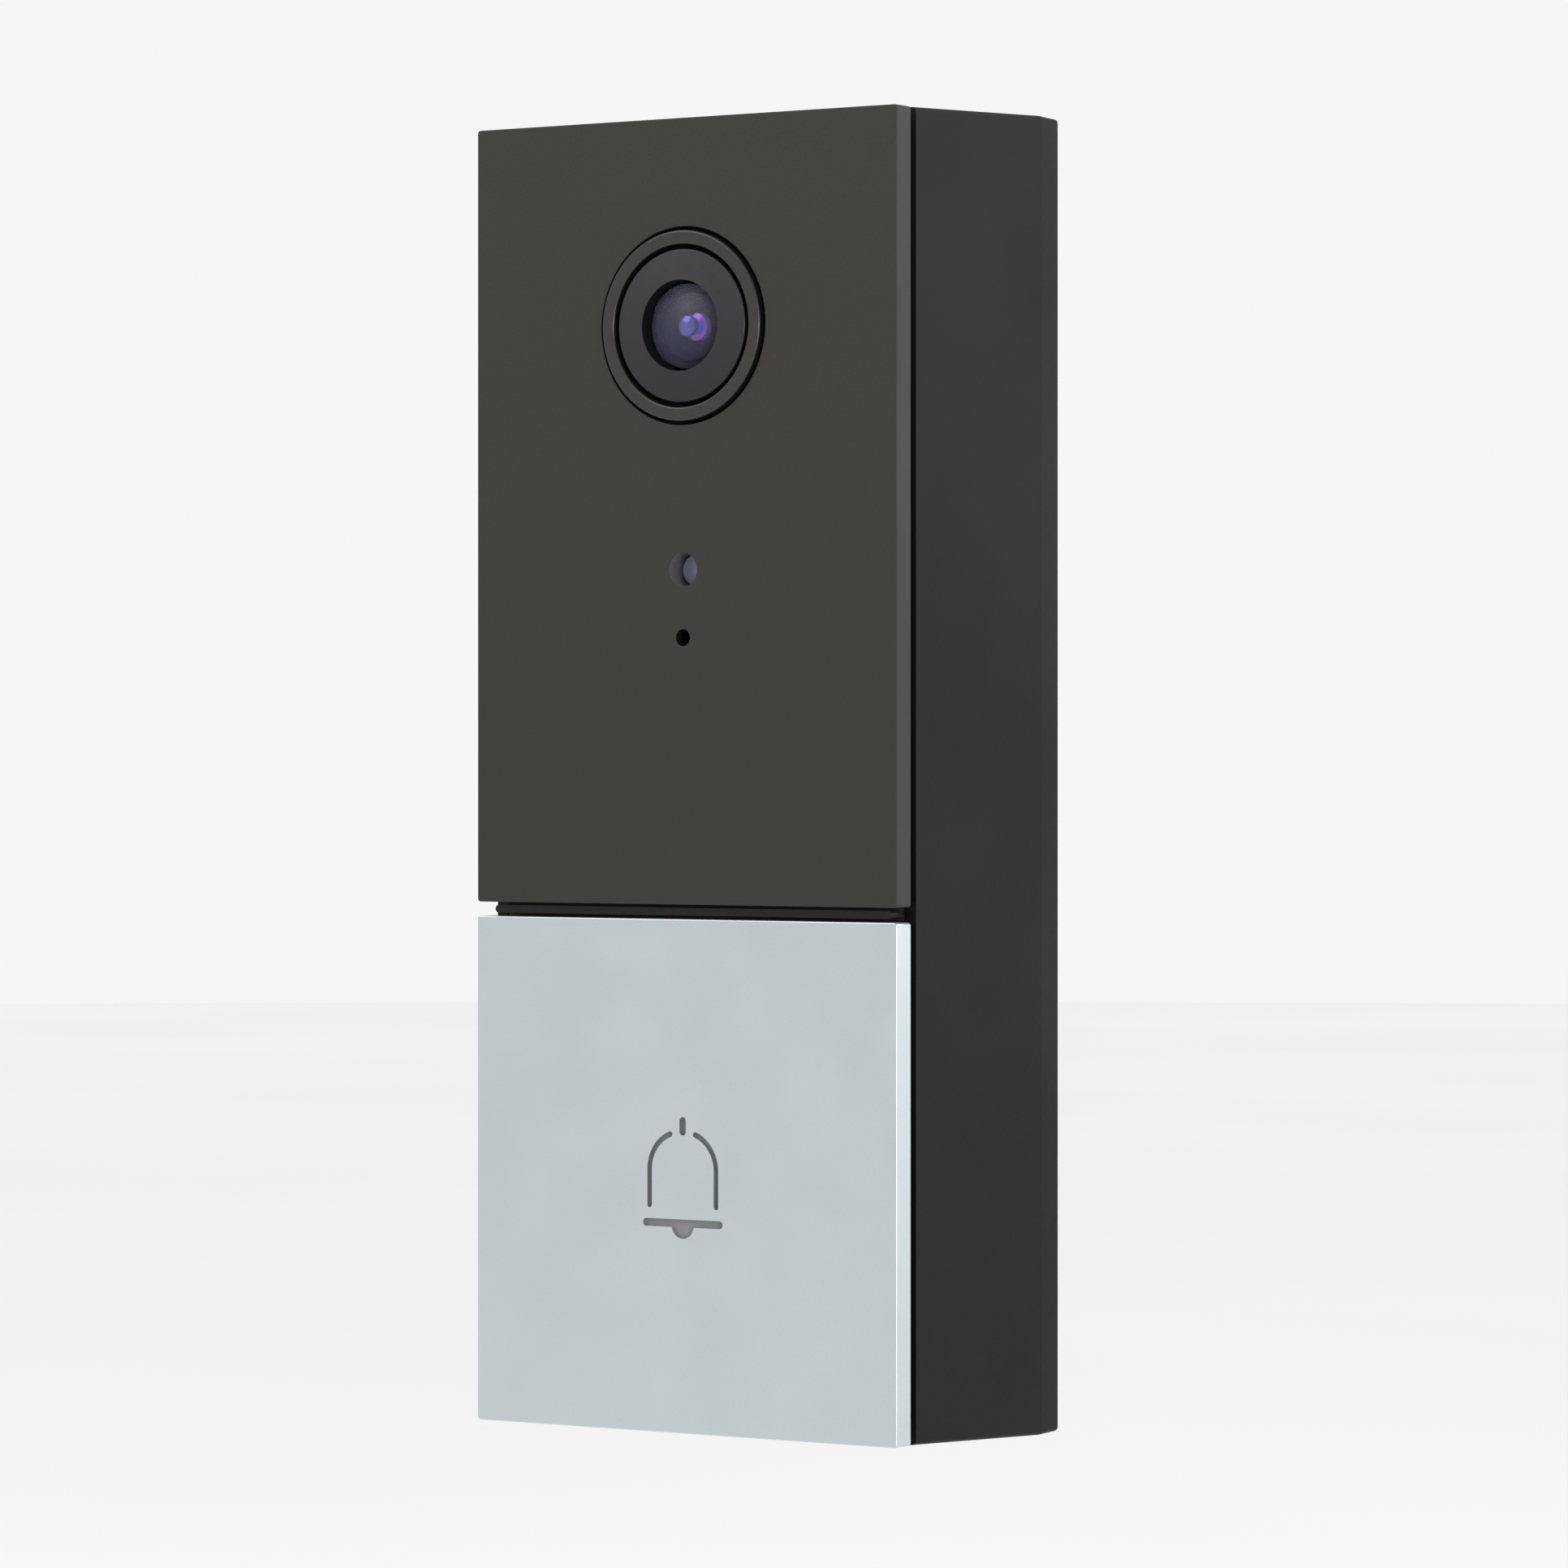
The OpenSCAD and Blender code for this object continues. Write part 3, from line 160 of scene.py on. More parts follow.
class PlateSizes(bpy.types.PropertyGroup):
    """Sizes of the camera cover and of the push plate."""

    corner_round: length("Corner", "Radius of the plates' corners", 0.3 * MM)
    edge_round: length("Edge", "Rounding of the plates' front edges", 0.12 * MM)
    hole_edge: length("Hole edge", "Rounding of the holes' front edges", 0.06 * MM)
    ring_gap: length("Ring gap", "Open gap between the camera ring and the cover", 0.36 * MM)
    sensor_radius: length("Sensor hole", "Radius of the light-sensor hole", 1.6 * MM)
    mic_radius: length("Microphone hole", "Radius of the microphone hole", 0.8 * MM)


class CameraSizes(bpy.types.PropertyGroup):
    """Sizes of the camera ring, its window disc and the lens."""

    ring_inner: length("Ring bore", "Inner radius of the raised ring", 7.68 * MM)
    ring_edge: length("Ring edge", "Rounding of the ring's front edges", 0.22 * MM)
    paint_depth: length("Paint depth", "How far the ring's paint reaches below the cover's face", 0.3 * MM)
    ledge: length("Ledge", "Width of the ring's ledge behind the disc", 0.8 * MM)
    disc_rise: length("Disc rise", "How much the disc rises from its edge to its opening", 0.3 * MM)
    disc_edge: length("Disc edge", "Rounding of the window disc's edge", 0.12 * MM)
    aperture: length("Aperture", "Radius of the opening in the window disc", 4.3 * MM)
    glass_rise: length("Glass rise", "How far the front glass domes out of its rim", 1.1 * MM)
    glass_wall: length("Glass thickness", "Thickness of the front glass in its middle", 0.55 * MM)
    second_radius: length("Second element", "Radius of the blue-coated element", 0.95 * MM)
    second_depth: length("Second element depth", "Depth of that element behind the disc's opening", 0.95 * MM)
    third_radius: length("Third element", "Radius of the violet-coated element", 1.3 * MM)
    third_depth: length("Third element depth", "Depth of that element behind the disc's opening", 2.5 * MM)
    baffle_pitch: length("Baffle pitch", "Distance between the rings inside the lens barrel", 0.8 * MM)


class BellSizes(bpy.types.PropertyGroup):
    """Sizes of the bell engraved in the push plate."""

    depth: length("Depth", "Depth of the engraving", 0.5 * MM)
    above_edge: length("Height", "Height of the bell's bar above the plate's lower edge", 19.8 * MM)
    stroke: length("Stroke", "Width of the thin strokes", 0.53 * MM)
    bar: length("Bar", "Width of the bar and of the stem", 0.74 * MM)
    bar_half: length("Bar half length", "Half the length of the bar", 4.56 * MM)
    half_width: length("Half width", "Half the width between the side strokes", 3.8 * MM)
    shoulder: length("Shoulder", "Height of the shoulder above the bar", 5 * MM)
    foot: length("Foot", "Height of the side strokes' feet above the bar", 1.66 * MM)
    stem_height: length("Stem height", "Height of the stem's middle above the bar", 9.15 * MM)
    stem_length: length("Stem length", "Length of the stem", 1.75 * MM)
    clapper: length("Clapper", "Radius of the clapper under the bar", 1.08 * MM)


class Colours(bpy.types.PropertyGroup):
    """Colours of the pieces that are seen from outside."""

    cover: colour("Camera cover", "Painted camera cover", (0.0258, 0.0248, 0.0215))
    ring: colour("Camera ring", "Painted camera ring", (0.0150, 0.0141, 0.0122))
    push: colour("Push plate", "Satin silver push plate", (0.480, 0.528, 0.548))
    icon: colour("Bell", "Floor of the engraved bell", (0.175, 0.175, 0.18))
    housing: colour("Case", "Moulded case", (0.0066, 0.0066, 0.0066))
    inner: colour("Inner frame", "Inner frame and divider rib", (0.0165, 0.0150, 0.0130))
    disc: colour("Window disc", "Dark disc round the lens", (0.0272, 0.0256, 0.0284))
    lens: colour("Lens coating", "Lower half of the coated front lens", (0.046, 0.042, 0.082))
    # the lens top colour is a painted reflection of the bright surroundings, not a colour of the coating
    lens_top_painted_reflection: colour("Lens top", "Paler upper edge of the front lens", (0.115, 0.105, 0.150))
    lens_side: colour("Lens side", "Bluer side of the front lens", (0.088, 0.088, 0.158))
    bracket: colour("Wall bracket", "Powder-coated wall bracket", (0.25, 0.26, 0.27))


class InnerSizes(bpy.types.PropertyGroup):
    """Edges of the pieces inside the case."""

    frame_edge: length("Frame edge", "Rounding of the inner frame's edges", 0.12 * MM)
    carrier_edge: length("Carrier edge", "Rounding of the button carrier's edges", 0.15 * MM)
    rubber_edge: length("Rubber edge", "Rounding of rubber and foam pieces", 0.18 * MM)
    part_edge: length("Part edge", "Rounding of the parts on the boards", 0.08 * MM)
    screw_edge: length("Screw edge", "Rounding of the screws' heads", 0.1 * MM)
    mesh_pitch: length("Mesh pitch", "Distance between the wires of the speaker's mesh", 0.7 * MM)
    mesh_wire: length("Mesh wire", "Thickness of those wires", 0.22 * MM)


class StageSizes(bpy.types.PropertyGroup):
    """Camera and floor."""

    azimuth: FloatProperty(name="Azimuth", description="How far the camera stands to the right of the front",
                           default=radians(33.8), subtype="ANGLE", unit="ROTATION")
    distance: length("Distance", "Distance of the camera along its own axis", 648.1 * MM)
    aside: FloatProperty(name="Aside", description="Sideways place of the camera", default=-5.64 * MM,
                         precision=5, subtype="DISTANCE", unit="LENGTH")
    height: length("Height", "Height of the camera above the middle of the case", 2.4 * MM)
    focal: FloatProperty(name="Focal length", description="Focal length in millimetres", default=152.4)
    rise: FloatProperty(name="Rise", description="Vertical shift of the lens", default=-0.0216)
    floor_drop: length("Floor", "How far the floor lies below the middle of the case", 250 * MM)
    floor_sides: IntProperty(name="Floor sides", description="Number of sides of the round floor", default=128)


# ---- planes and places read from the frame ----

COVER_LOW, COVER_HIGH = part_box("upper_cover")
PUSH_LOW, PUSH_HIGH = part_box("button_plate")
RING_LOW, RING_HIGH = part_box("camera_ring")
DISC_LOW, DISC_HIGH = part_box("camera_window")
LENS_LOW, LENS_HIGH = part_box("front_lens")
BARREL_LOW, BARREL_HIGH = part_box("lens_barrel")
PIPE_LOW, PIPE_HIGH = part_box("light_pipe")
MIC_LOW, MIC_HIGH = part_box("mic_membrane")
HOUSING_LOW, HOUSING_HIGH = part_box("rear_housing")
BRACKET_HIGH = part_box("wall_bracket")[1]

Y_FRONT = COVER_LOW.y
Y_PLATE_BACK = COVER_HIGH.y
CAM_Z = (RING_LOW.z + RING_HIGH.z) / 2
SENSOR_Z = (PIPE_LOW.z + PIPE_HIGH.z) / 2
MIC_Z = (MIC_LOW.z + MIC_HIGH.z) / 2
RING_RADIUS = RING_HIGH.x
DISC_RADIUS = DISC_HIGH.x
LENS_RADIUS = LENS_HIGH.x
BARREL_RADIUS = BARREL_HIGH.x


# ---- modelling helpers ----


def alone(obj):
    """Makes one object the only selected and the active one."""
    bpy.ops.object.select_all(action="DESELECT")
    obj.select_set(True)
    bpy.context.view_layer.objects.active = obj


@contextmanager
def editing(obj, kind="EDGE"):
    """Edit mode on one object, with nothing selected."""
    alone(obj)
    bpy.ops.object.mode_set(mode="EDIT")
    bpy.ops.mesh.select_mode(type=kind)
    bpy.ops.mesh.select_all(action="DESELECT")
    yield
    bpy.ops.object.mode_set(mode="OBJECT")


def choose(obj, kind, test):
    """In edit mode, selects the points, edges or faces that pass the test and says how many there are."""
    mesh = bmesh.from_edit_mesh(obj.data)
    mesh.normal_update()
    found = [part for part in getattr(mesh, kind) if test(part)]
    for part in found:
        part.select_set(True)
    mesh.select_flush_mode()
    bmesh.update_edit_mesh(obj.data)
    return len(found)


def middle(part):
    """Middle of an edge or a face."""
    points = [v.co for v in part.verts]
    return sum(points, Vector()) / len(points)


def soften(obj, width, test, segments=3):
    """Rounds the edges that pass the test."""
    with editing(obj, "EDGE"):
        if choose(obj, "edges", test):
            bpy.ops.mesh.bevel(offset=width, segments=segments, affect="EDGES", clamp_overlap=True)


def along(edge, axis):
    """Whether an edge runs along an axis: 0, 1 or 2."""
    step = edge.verts[1].co - edge.verts[0].co
    return step.length > 0 and abs(step[axis]) > 0.999 * step.length


def at_depth(edge, y):
    """Whether both ends of an edge lie at a depth."""
    return all(abs(v.co.y - y) < SAME_PLACE for v in edge.verts)


def on_circle(edge, radius, x, z, slack=0.02 * MM):
    """Whether both ends of an edge lie on a circle round an axis along Y."""
    return all(abs((Vector((v.co.x - x, v.co.z - z))).length - radius) < slack for v in edge.verts)


def add_block(low, high):
    """Block between two corners."""
    low, high = Vector(low), Vector(high)
    bpy.ops.object.select_all(action="DESELECT")
    bpy.ops.mesh.primitive_cube_add(size=1, location=(low + high) / 2, scale=high - low)
    bpy.ops.object.transform_apply(location=True, rotation=True, scale=True)
    return bpy.context.object


def add_rod(radius, y0, y1, x=0.0, z=0.0, sides=TURN_STEPS):
    """Round bar along Y between two depths."""
    bpy.ops.object.select_all(action="DESELECT")
    bpy.ops.mesh.primitive_cylinder_add(vertices=sides, radius=radius, depth=y1 - y0, rotation=(pi / 2, 0, 0),
                                        location=(x, (y0 + y1) / 2, z))
    bpy.ops.object.transform_apply(location=True, rotation=True, scale=True)
    return bpy.context.object


def add_line(points, closed=False):
    """Wire mesh through points, drawn by extruding one point on and on."""
    bpy.ops.object.select_all(action="DESELECT")
    bpy.ops.mesh.primitive_plane_add(size=MM)
    obj = bpy.context.object
    with editing(obj, "VERT"):
        bpy.ops.mesh.select_all(action="SELECT")
        bpy.ops.mesh.merge(type="CENTER")
        bpy.ops.mesh.select_all(action="SELECT")
        bpy.ops.transform.translate(value=Vector(points[0]))
        for start, end in zip(points, points[1:]):
            step = Vector(end) - Vector(start)
            bpy.ops.mesh.extrude_region_move(TRANSFORM_OT_translate={"value": step})
        if closed:
            bpy.ops.mesh.select_all(action="DESELECT")
            choose(obj, "verts", lambda v: len(v.link_edges) < 2)
            bpy.ops.mesh.edge_face_add()
    return obj


def add_outline(points, y0, y1):
    """Solid with an outline of [x, z] points between two depths."""
    obj = add_line([(x, y0, z) for x, z in points], closed=True)
    with editing(obj, "EDGE"):
        bpy.ops.mesh.select_all(action="SELECT")
        bpy.ops.mesh.edge_face_add()
        bpy.ops.mesh.extrude_region_move(TRANSFORM_OT_translate={"value": (0, y1 - y0, 0)})
        face_out(obj)
    return obj


def face_out(obj):
    """In edit mode, merges doubles and turns every face outwards."""
    bpy.ops.mesh.select_all(action="SELECT")
    bpy.ops.mesh.remove_doubles(threshold=SAME_PLACE / 2)
    bpy.ops.mesh.normals_make_consistent(inside=False)


def add_turned(profile, x=0.0, z=0.0, closed=True, steps=TURN_STEPS):
    """Turned piece about an axis along Y. The profile is [radius, depth] points."""
    obj = add_line([(x + r, y, z) for r, y in profile], closed=closed)
    with editing(obj, "EDGE"):
        bpy.ops.mesh.select_all(action="SELECT")
        bpy.ops.mesh.spin(steps=steps, angle=2 * pi, center=(x, 0, z), axis=(0, 1, 0))
        face_out(obj)
    return obj


def apply_modifier(obj, kind, **settings):
    """Adds a modifier with its settings and applies it."""
    modifier = obj.modifiers.new(kind, kind)
    for name, value in settings.items():
        setattr(modifier, name, value)
    alone(obj)
    bpy.ops.object.modifier_apply(modifier=modifier.name)


def cut(obj, *cutters):
    """Takes cutters away from an object."""
    for cutter in cutters:
        apply_modifier(obj, "BOOLEAN", operation="DIFFERENCE", solver="EXACT", object=cutter)
        bpy.data.objects.remove(cutter)


def join(objects):
    """Joins objects into the first."""
    alone(objects[0])
    for obj in objects:
        obj.select_set(True)
    bpy.ops.object.join()
    return bpy.context.object


def copy_of(node, flat=0.6):
    """Merged copy of a CAD node, with the triangles of each flat face made one face."""
    alone(frame["nodes"][node])
    bpy.ops.object.duplicate()
    obj = bpy.context.object
    obj.parent = None
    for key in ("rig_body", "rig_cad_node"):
        if key in obj:
            del obj[key]
    bpy.ops.mesh.customdata_custom_splitnormals_clear()
    with editing(obj, "EDGE"):
        bpy.ops.mesh.select_all(action="SELECT")
        bpy.ops.mesh.remove_doubles(threshold=SAME_PLACE / 2)
        bpy.ops.mesh.dissolve_limited(angle_limit=radians(flat))
    return obj


def finish_piece(obj, name, slot, nodes, flat=True):
    """Names, smooths and paints a piece, and lets it ride and stand for its CAD nodes."""
    obj.name = name
    obj.data.name = name
    alone(obj)
    bpy.ops.object.transform_apply(location=True, rotation=True, scale=True)
    bpy.ops.object.shade_smooth_by_angle(angle=SMOOTH_ANGLE)
    if flat:
        apply_modifier(obj, "WEIGHTED_NORMAL", keep_sharp=True, weight=100)
    obj.data.materials.clear()
    obj.data.materials.append(finish(slot))
    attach(obj, frame["nodes"][nodes[0]]["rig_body"])
    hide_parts(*nodes)
    return obj


def paint_faces(obj, slot, test):
    """Gives the faces whose middle passes the test a finish of their own."""
    obj.data.materials.append(finish(slot))
    for face in obj.data.polygons:
        if test(face.center):
            face.material_index = len(obj.data.materials) - 1


def reach(point, z):
    """Distance of a point from an axis along Y at a height."""
    return Vector((point.x, point.z - z)).length


# ---- finishes ----


class Painter:
    """Small helper that wires shader nodes round one Principled shader."""

    def __init__(self, name):
        self.material = bpy.data.materials.new(name)
        self.material.use_nodes = True
        self.tree = self.material.node_tree
        self.shader = self.tree.nodes["Principled BSDF"]
        self.place = self.tree.nodes.new("ShaderNodeTexCoord").outputs["Object"]

    def link(self, source, target):
        self.tree.links.new(source, target)

    def node(self, kind, inputs=(), **settings):
        node = self.tree.nodes.new(kind)
        for key, value in settings.items():
            setattr(node, key, value)
        for key, value in dict(inputs).items():
            if isinstance(value, bpy.types.NodeSocket):
                self.link(value, node.inputs[key])
            else:
                node.inputs[key].default_value = value
        return node

    def noise(self, size, detail=3.0, roughness=0.55, stretch=None):
        """Noise whose features are about as large as size, in metres."""
        place = self.place
        if stretch:
            place = self.node("ShaderNodeMapping", {"Vector": place, "Scale": stretch}).outputs["Vector"]
        return self.node("ShaderNodeTexNoise", {"Vector": place, "Scale": 1 / size, "Detail": detail,
                                                "Roughness": roughness}).outputs["Fac"]

    def spread(self, value, low, high, from_low=0.3, from_high=0.7):
        """Value brought from one range to another."""
        return self.node("ShaderNodeMapRange", {"Value": value, "From Min": from_low, "From Max": from_high,
                                                "To Min": low, "To Max": high}).outputs["Result"]

    def blend(self, fac, a, b):
        """Mix of two colours."""
        mix = self.node("ShaderNodeMix", data_type="RGBA")
        for socket, value in ((mix.inputs[0], fac), (mix.inputs[6], a), (mix.inputs[7], b)):
            if isinstance(value, bpy.types.NodeSocket):
                self.link(value, socket)
            else:
                socket.default_value = value if isinstance(value, float) else (*value, 1)
        return mix.outputs[2]

    def axis(self, letter):
        """One coordinate of the place."""
        return self.node("ShaderNodeSeparateXYZ", {"Vector": self.place}).outputs[letter]

    def bump(self, height, strength, distance):
        """Bump from a height."""
        node = self.node("ShaderNodeBump", {"Height": height, "Strength": strength, "Distance": distance})
        self.link(node.outputs["Normal"], self.shader.inputs["Normal"])

    def set(self, **sockets):
        """Constants on the shader's own sockets."""
        for key, value in sockets.items():
            self.shader.inputs[key.replace("_", " ")].default_value = value


def shades(rgb, change):
    """A darker and a lighter shade of a colour."""
    return tuple(c * (1 - change) for c in rgb), tuple(min(1.0, c * (1 + change)) for c in rgb)


def plastic(name, rgb, rough, grain, change=0.08, depth=0.02, shine=0.5, painted_shade=0.0, over=CAD_BOX):
    """Moulded or painted plastic: fine grain, a worn gloss, and painted shade that darkens it towards the
    bottom of a box, for light that falls from above.
    """
    p = Painter(name)
    dark, light = shades(rgb, change)
    fine = p.noise(grain, 4)
    slow = p.noise(18 * MM, 2)
    paint = p.blend(p.spread(fine, 0.0, 1.0), dark, light)
    # painted shade: the colour darkens towards the bottom of the box, standing in for the light falling from
    # above
    if painted_shade:
        tall = p.spread(p.axis("Z"), 0.0, 1.0, over[0].z, over[1].z)
        paint = p.blend(tall, tuple(c * (1 - painted_shade) for c in rgb), paint)
    p.link(paint, p.shader.inputs["Base Color"])
    worn = p.spread(slow, rough - 0.04, rough + 0.04)
    mixed = p.node("ShaderNodeMath", {0: worn, 1: p.spread(fine, -0.03, 0.03)}, operation="ADD").outputs[0]
    p.link(mixed, p.shader.inputs["Roughness"])
    p.bump(fine, 0.5, depth * MM)
    p.set(Specular_IOR_Level=shine)
    return p.material


def metal(name, rgb, rough, grain, stretch=None, change=0.06, depth=0.006, metallic=1.0):
    """Metal with a fine grain, stretched along one way where it is brushed."""
    p = Painter(name)
    dark, light = shades(rgb, change)
    fine = p.noise(grain, 5, stretch=stretch)
    slow = p.noise(9 * MM, 2)
    p.link(p.blend(p.spread(fine, 0.0, 1.0), dark, light), p.shader.inputs["Base Color"])
    p.link(p.spread(slow, rough - 0.04, rough + 0.05), p.shader.inputs["Roughness"])
    p.bump(fine, 0.4, depth * MM)
    p.set(Metallic=metallic)
    return p.material


def glass(name, rgb, alpha, rough=0.05):
    """Thin clear or smoked plastic that what lies behind shows through."""
    p = Painter(name)
    dark, light = shades(rgb, 0.12)
    p.link(p.blend(p.spread(p.noise(3 * MM, 2), 0.0, 1.0), dark, light), p.shader.inputs["Base Color"])
    p.link(p.spread(p.noise(1.2 * MM, 3), rough, rough + 0.05), p.shader.inputs["Roughness"])
    p.set(Alpha=alpha)
    return p.material


def circuit(name, rgb):
    """Solder mask with tracks and tinned pads."""
    p = Painter(name)
    dark, light = shades(rgb, 0.25)
    cells = p.node("ShaderNodeTexVoronoi", {"Vector": p.place, "Scale": 420.0, "Randomness": 0.55},
                   distance="CHEBYCHEV", feature="F1")
    tracks = p.spread(cells.outputs["Distance"], 0.0, 1.0, 0.40, 0.42)
    pads = p.spread(cells.outputs["Distance"], 1.0, 0.0, 0.09, 0.11)
    paint = p.blend(tracks, dark, light)
    p.link(p.blend(pads, paint, (0.55, 0.50, 0.38)), p.shader.inputs["Base Color"])
    p.link(p.spread(pads, 0.38, 0.25, 0.0, 1.0), p.shader.inputs["Roughness"])
    p.bump(tracks, 0.5, 0.03 * MM)
    return p.material


def coated_glass(name):
    """Front lens: coating colour over the dark barrel, bluer towards its left side, with a painted reflection
    that makes its upper part paler.
    """
    p = Painter(name)
    low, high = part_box("front_lens")
    up = p.spread(p.axis("Z"), 0.0, 1.0, low.z, high.z)
    across = p.spread(p.axis("X"), 0.0, 1.0, low.x, high.x)
    # painted reflection: the colour turns paler towards the top of the lens, standing in for the bright
    # surroundings reflected there
    paint = p.blend(p.spread(up, 0.0, 1.0, 0.3, 1.0), tints().lens, tints().lens_top_painted_reflection)
    paint = p.blend(p.spread(across, 0.75, 0.0, 0.0, 0.55), paint, tints().lens_side)
    p.link(paint, p.shader.inputs["Base Color"])
    p.link(p.spread(p.noise(1.5 * MM, 2), 0.32, 0.38), p.shader.inputs["Roughness"])
    p.set(Alpha=0.34, Specular_IOR_Level=0.35)
    return p.material


def shiny_element(name, centre, edge, radius):
    """Coated inner lens element, one colour in the middle and another at its edge, that also glows faintly in
    its middle colour: a painted glow for the flare reflected inside the lens.
    """
    p = Painter(name)
    off = p.node("ShaderNodeMapping", {"Vector": p.place, "Location": (0, 0, -CAM_Z)}).outputs["Vector"]
    split = p.node("ShaderNodeSeparateXYZ", {"Vector": off})
    flat = p.node("ShaderNodeCombineXYZ", {"X": split.outputs["X"], "Z": split.outputs["Z"]}).outputs["Vector"]
    off_axis = p.node("ShaderNodeVectorMath", {0: flat}, operation="LENGTH").outputs["Value"]
    p.link(p.blend(p.spread(off_axis, 0.0, 1.0, 0.0, radius), centre, edge), p.shader.inputs["Base Color"])
    p.link(p.spread(p.noise(1 * MM, 2), 0.12, 0.18), p.shader.inputs["Roughness"])
    # painted glow: the element emits light in its middle colour, standing in for the flare that the lamps make
    # inside the lens
    p.set(Metallic=1.0, Emission_Color=(*centre, 1), Emission_Strength=0.16)
    return p.material


MADE = {}


def finish(slot):
    """Material of one slot, made once."""
    if slot not in MADE:
        MADE[slot] = FINISHES[slot](slot)
    return MADE[slot]


def tints():
    """Colours as the user set them."""
    return bpy.context.scene.doorbell_colours


FINISHES = {
    # the camera cover is painted slightly darker towards the bottom of the case: painted shade for light from
    # above
    "cover_paint": lambda n: plastic(n, tints().cover, 0.44, 0.22 * MM, 0.1, 0.012, 0.2, 0.1),
    "ring_paint": lambda n: plastic(n, tints().ring, 0.32, 0.2 * MM, 0.1, 0.006, 0.45),
    "push_silver": lambda n: metal(n, tints().push, 0.36, 0.15 * MM, change=0.04, depth=0.004,
                                   metallic=0.88),
    # sensor hole wall: painted lighter than the cover, standing in for light that falls into the shaded hole
    "hole_liner": lambda n: plastic(n, (0.085, 0.080, 0.088), 0.5, 0.3 * MM, 0.06, 0.01, 0.3),
    "icon_grey": lambda n: plastic(n, tints().icon, 0.55, 0.12 * MM, 0.06, 0.008, 0.4),
    # the case is painted much darker towards its bottom: painted shade for light from above
    "housing_plastic": lambda n: plastic(n, tints().housing, 0.5, 0.3 * MM, 0.12, 0.02, 0.12, 0.6),
    "frame_plastic": lambda n: plastic(n, tints().inner, 0.5, 0.3 * MM, 0.1, 0.02, 0.15),
    # the window disc is painted darker towards its bottom edge over its own box: painted shade for light from
    # above
    "window_dark": lambda n: plastic(n, tints().disc, 0.3, 1.5 * MM, 0.06, 0.001, 0.22, 0.35,
                                     (DISC_LOW, DISC_HIGH)),
    "lens_glass": coated_glass,
    # the coated elements carry a painted glow as well as their coating colours
    "blue_coating": lambda n: shiny_element(n, (0.30, 0.36, 1.0), (0.14, 0.17, 0.85), 0.9 * MM),
    "violet_coating": lambda n: shiny_element(n, (0.42, 0.30, 1.0), (0.42, 0.16, 0.80), 1.1 * MM),
    "clear_grey": lambda n: plastic(n, (0.20, 0.22, 0.32), 0.25, 0.9 * MM, 0.08, 0.004, 0.6),
    "clear_glass": lambda n: glass(n, (0.72, 0.78, 0.82), 0.4),
    "lens_black": lambda n: plastic(n, (0.003, 0.003, 0.004), 0.75, 0.5 * MM, 0.1, 0.002, 0.1),
    "rubber_black": lambda n: plastic(n, (0.013, 0.013, 0.013), 0.75, 0.35 * MM, 0.15, 0.03, 0.25),
    "rubber_grey": lambda n: plastic(n, (0.11, 0.11, 0.112), 0.65, 0.4 * MM, 0.08, 0.03, 0.3),
    "foam_tape": lambda n: plastic(n, (0.012, 0.012, 0.012), 0.9, 0.14 * MM, 0.5, 0.06, 0.15),
    "board_green": lambda n: circuit(n, (0.015, 0.085, 0.040)),
    "chip_black": lambda n: plastic(n, (0.018, 0.018, 0.020), 0.55, 0.12 * MM, 0.12, 0.01, 0.4),
    "part_cream": lambda n: plastic(n, (0.62, 0.57, 0.45), 0.5, 0.4 * MM, 0.05, 0.01, 0.4),
    "ferrite": lambda n: plastic(n, (0.07, 0.065, 0.06), 0.7, 0.2 * MM, 0.3, 0.03, 0.3),
    "copper": lambda n: metal(n, (0.62, 0.27, 0.12), 0.28, 0.12 * MM, (1, 8, 1), 0.15, 0.02),
    "brass": lambda n: metal(n, (0.66, 0.48, 0.20), 0.28, 0.2 * MM),
    "steel": lambda n: metal(n, (0.52, 0.53, 0.54), 0.32, 0.25 * MM),
    "tin": lambda n: metal(n, (0.58, 0.59, 0.60), 0.34, 0.4 * MM, (1, 6, 1)),
    "flex_amber": lambda n: plastic(n, (0.55, 0.26, 0.04), 0.3, 0.5 * MM, 0.1, 0.006, 0.6),
    "wire_red": lambda n: plastic(n, (0.42, 0.025, 0.02), 0.35, 0.5 * MM, 0.06, 0.006, 0.5),
    "wire_white": lambda n: plastic(n, (0.72, 0.72, 0.70), 0.35, 0.5 * MM, 0.04, 0.006, 0.5),
    "key_white": lambda n: plastic(n, (0.66, 0.66, 0.66), 0.45, 0.3 * MM, 0.04, 0.01, 0.4),
    "plunger_red": lambda n: plastic(n, (0.26, 0.03, 0.02), 0.45, 0.3 * MM, 0.06, 0.01, 0.4),
    "bracket_grey": lambda n: plastic(n, tints().bracket, 0.5, 0.35 * MM, 0.08, 0.05, 0.4),
}


# ---- pieces ----


class DOORBELL_OT_frame_finishes(bpy.types.Operator):
    """Give every CAD node the finish of its material slot"""

    bl_idname = "doorbell.frame_finishes"
    bl_label = "Frame Finishes"

    def execute(self, context):
        for part in frame["record"]["subparts"]:
            obj = frame["nodes"][part["node"]]
            slot = part["material_slot"]
            obj.data.materials.clear()
            obj.data.materials.append(finish(slot))
        return {"FINISHED"}


def is_outer(point, slack=0.9 * MM):
    """Whether a point lies on the outer skin of the case."""
    return (abs(point.x) > HOUSING_HIGH.x - slack) or (abs(point.z) > HOUSING_HIGH.z - slack)


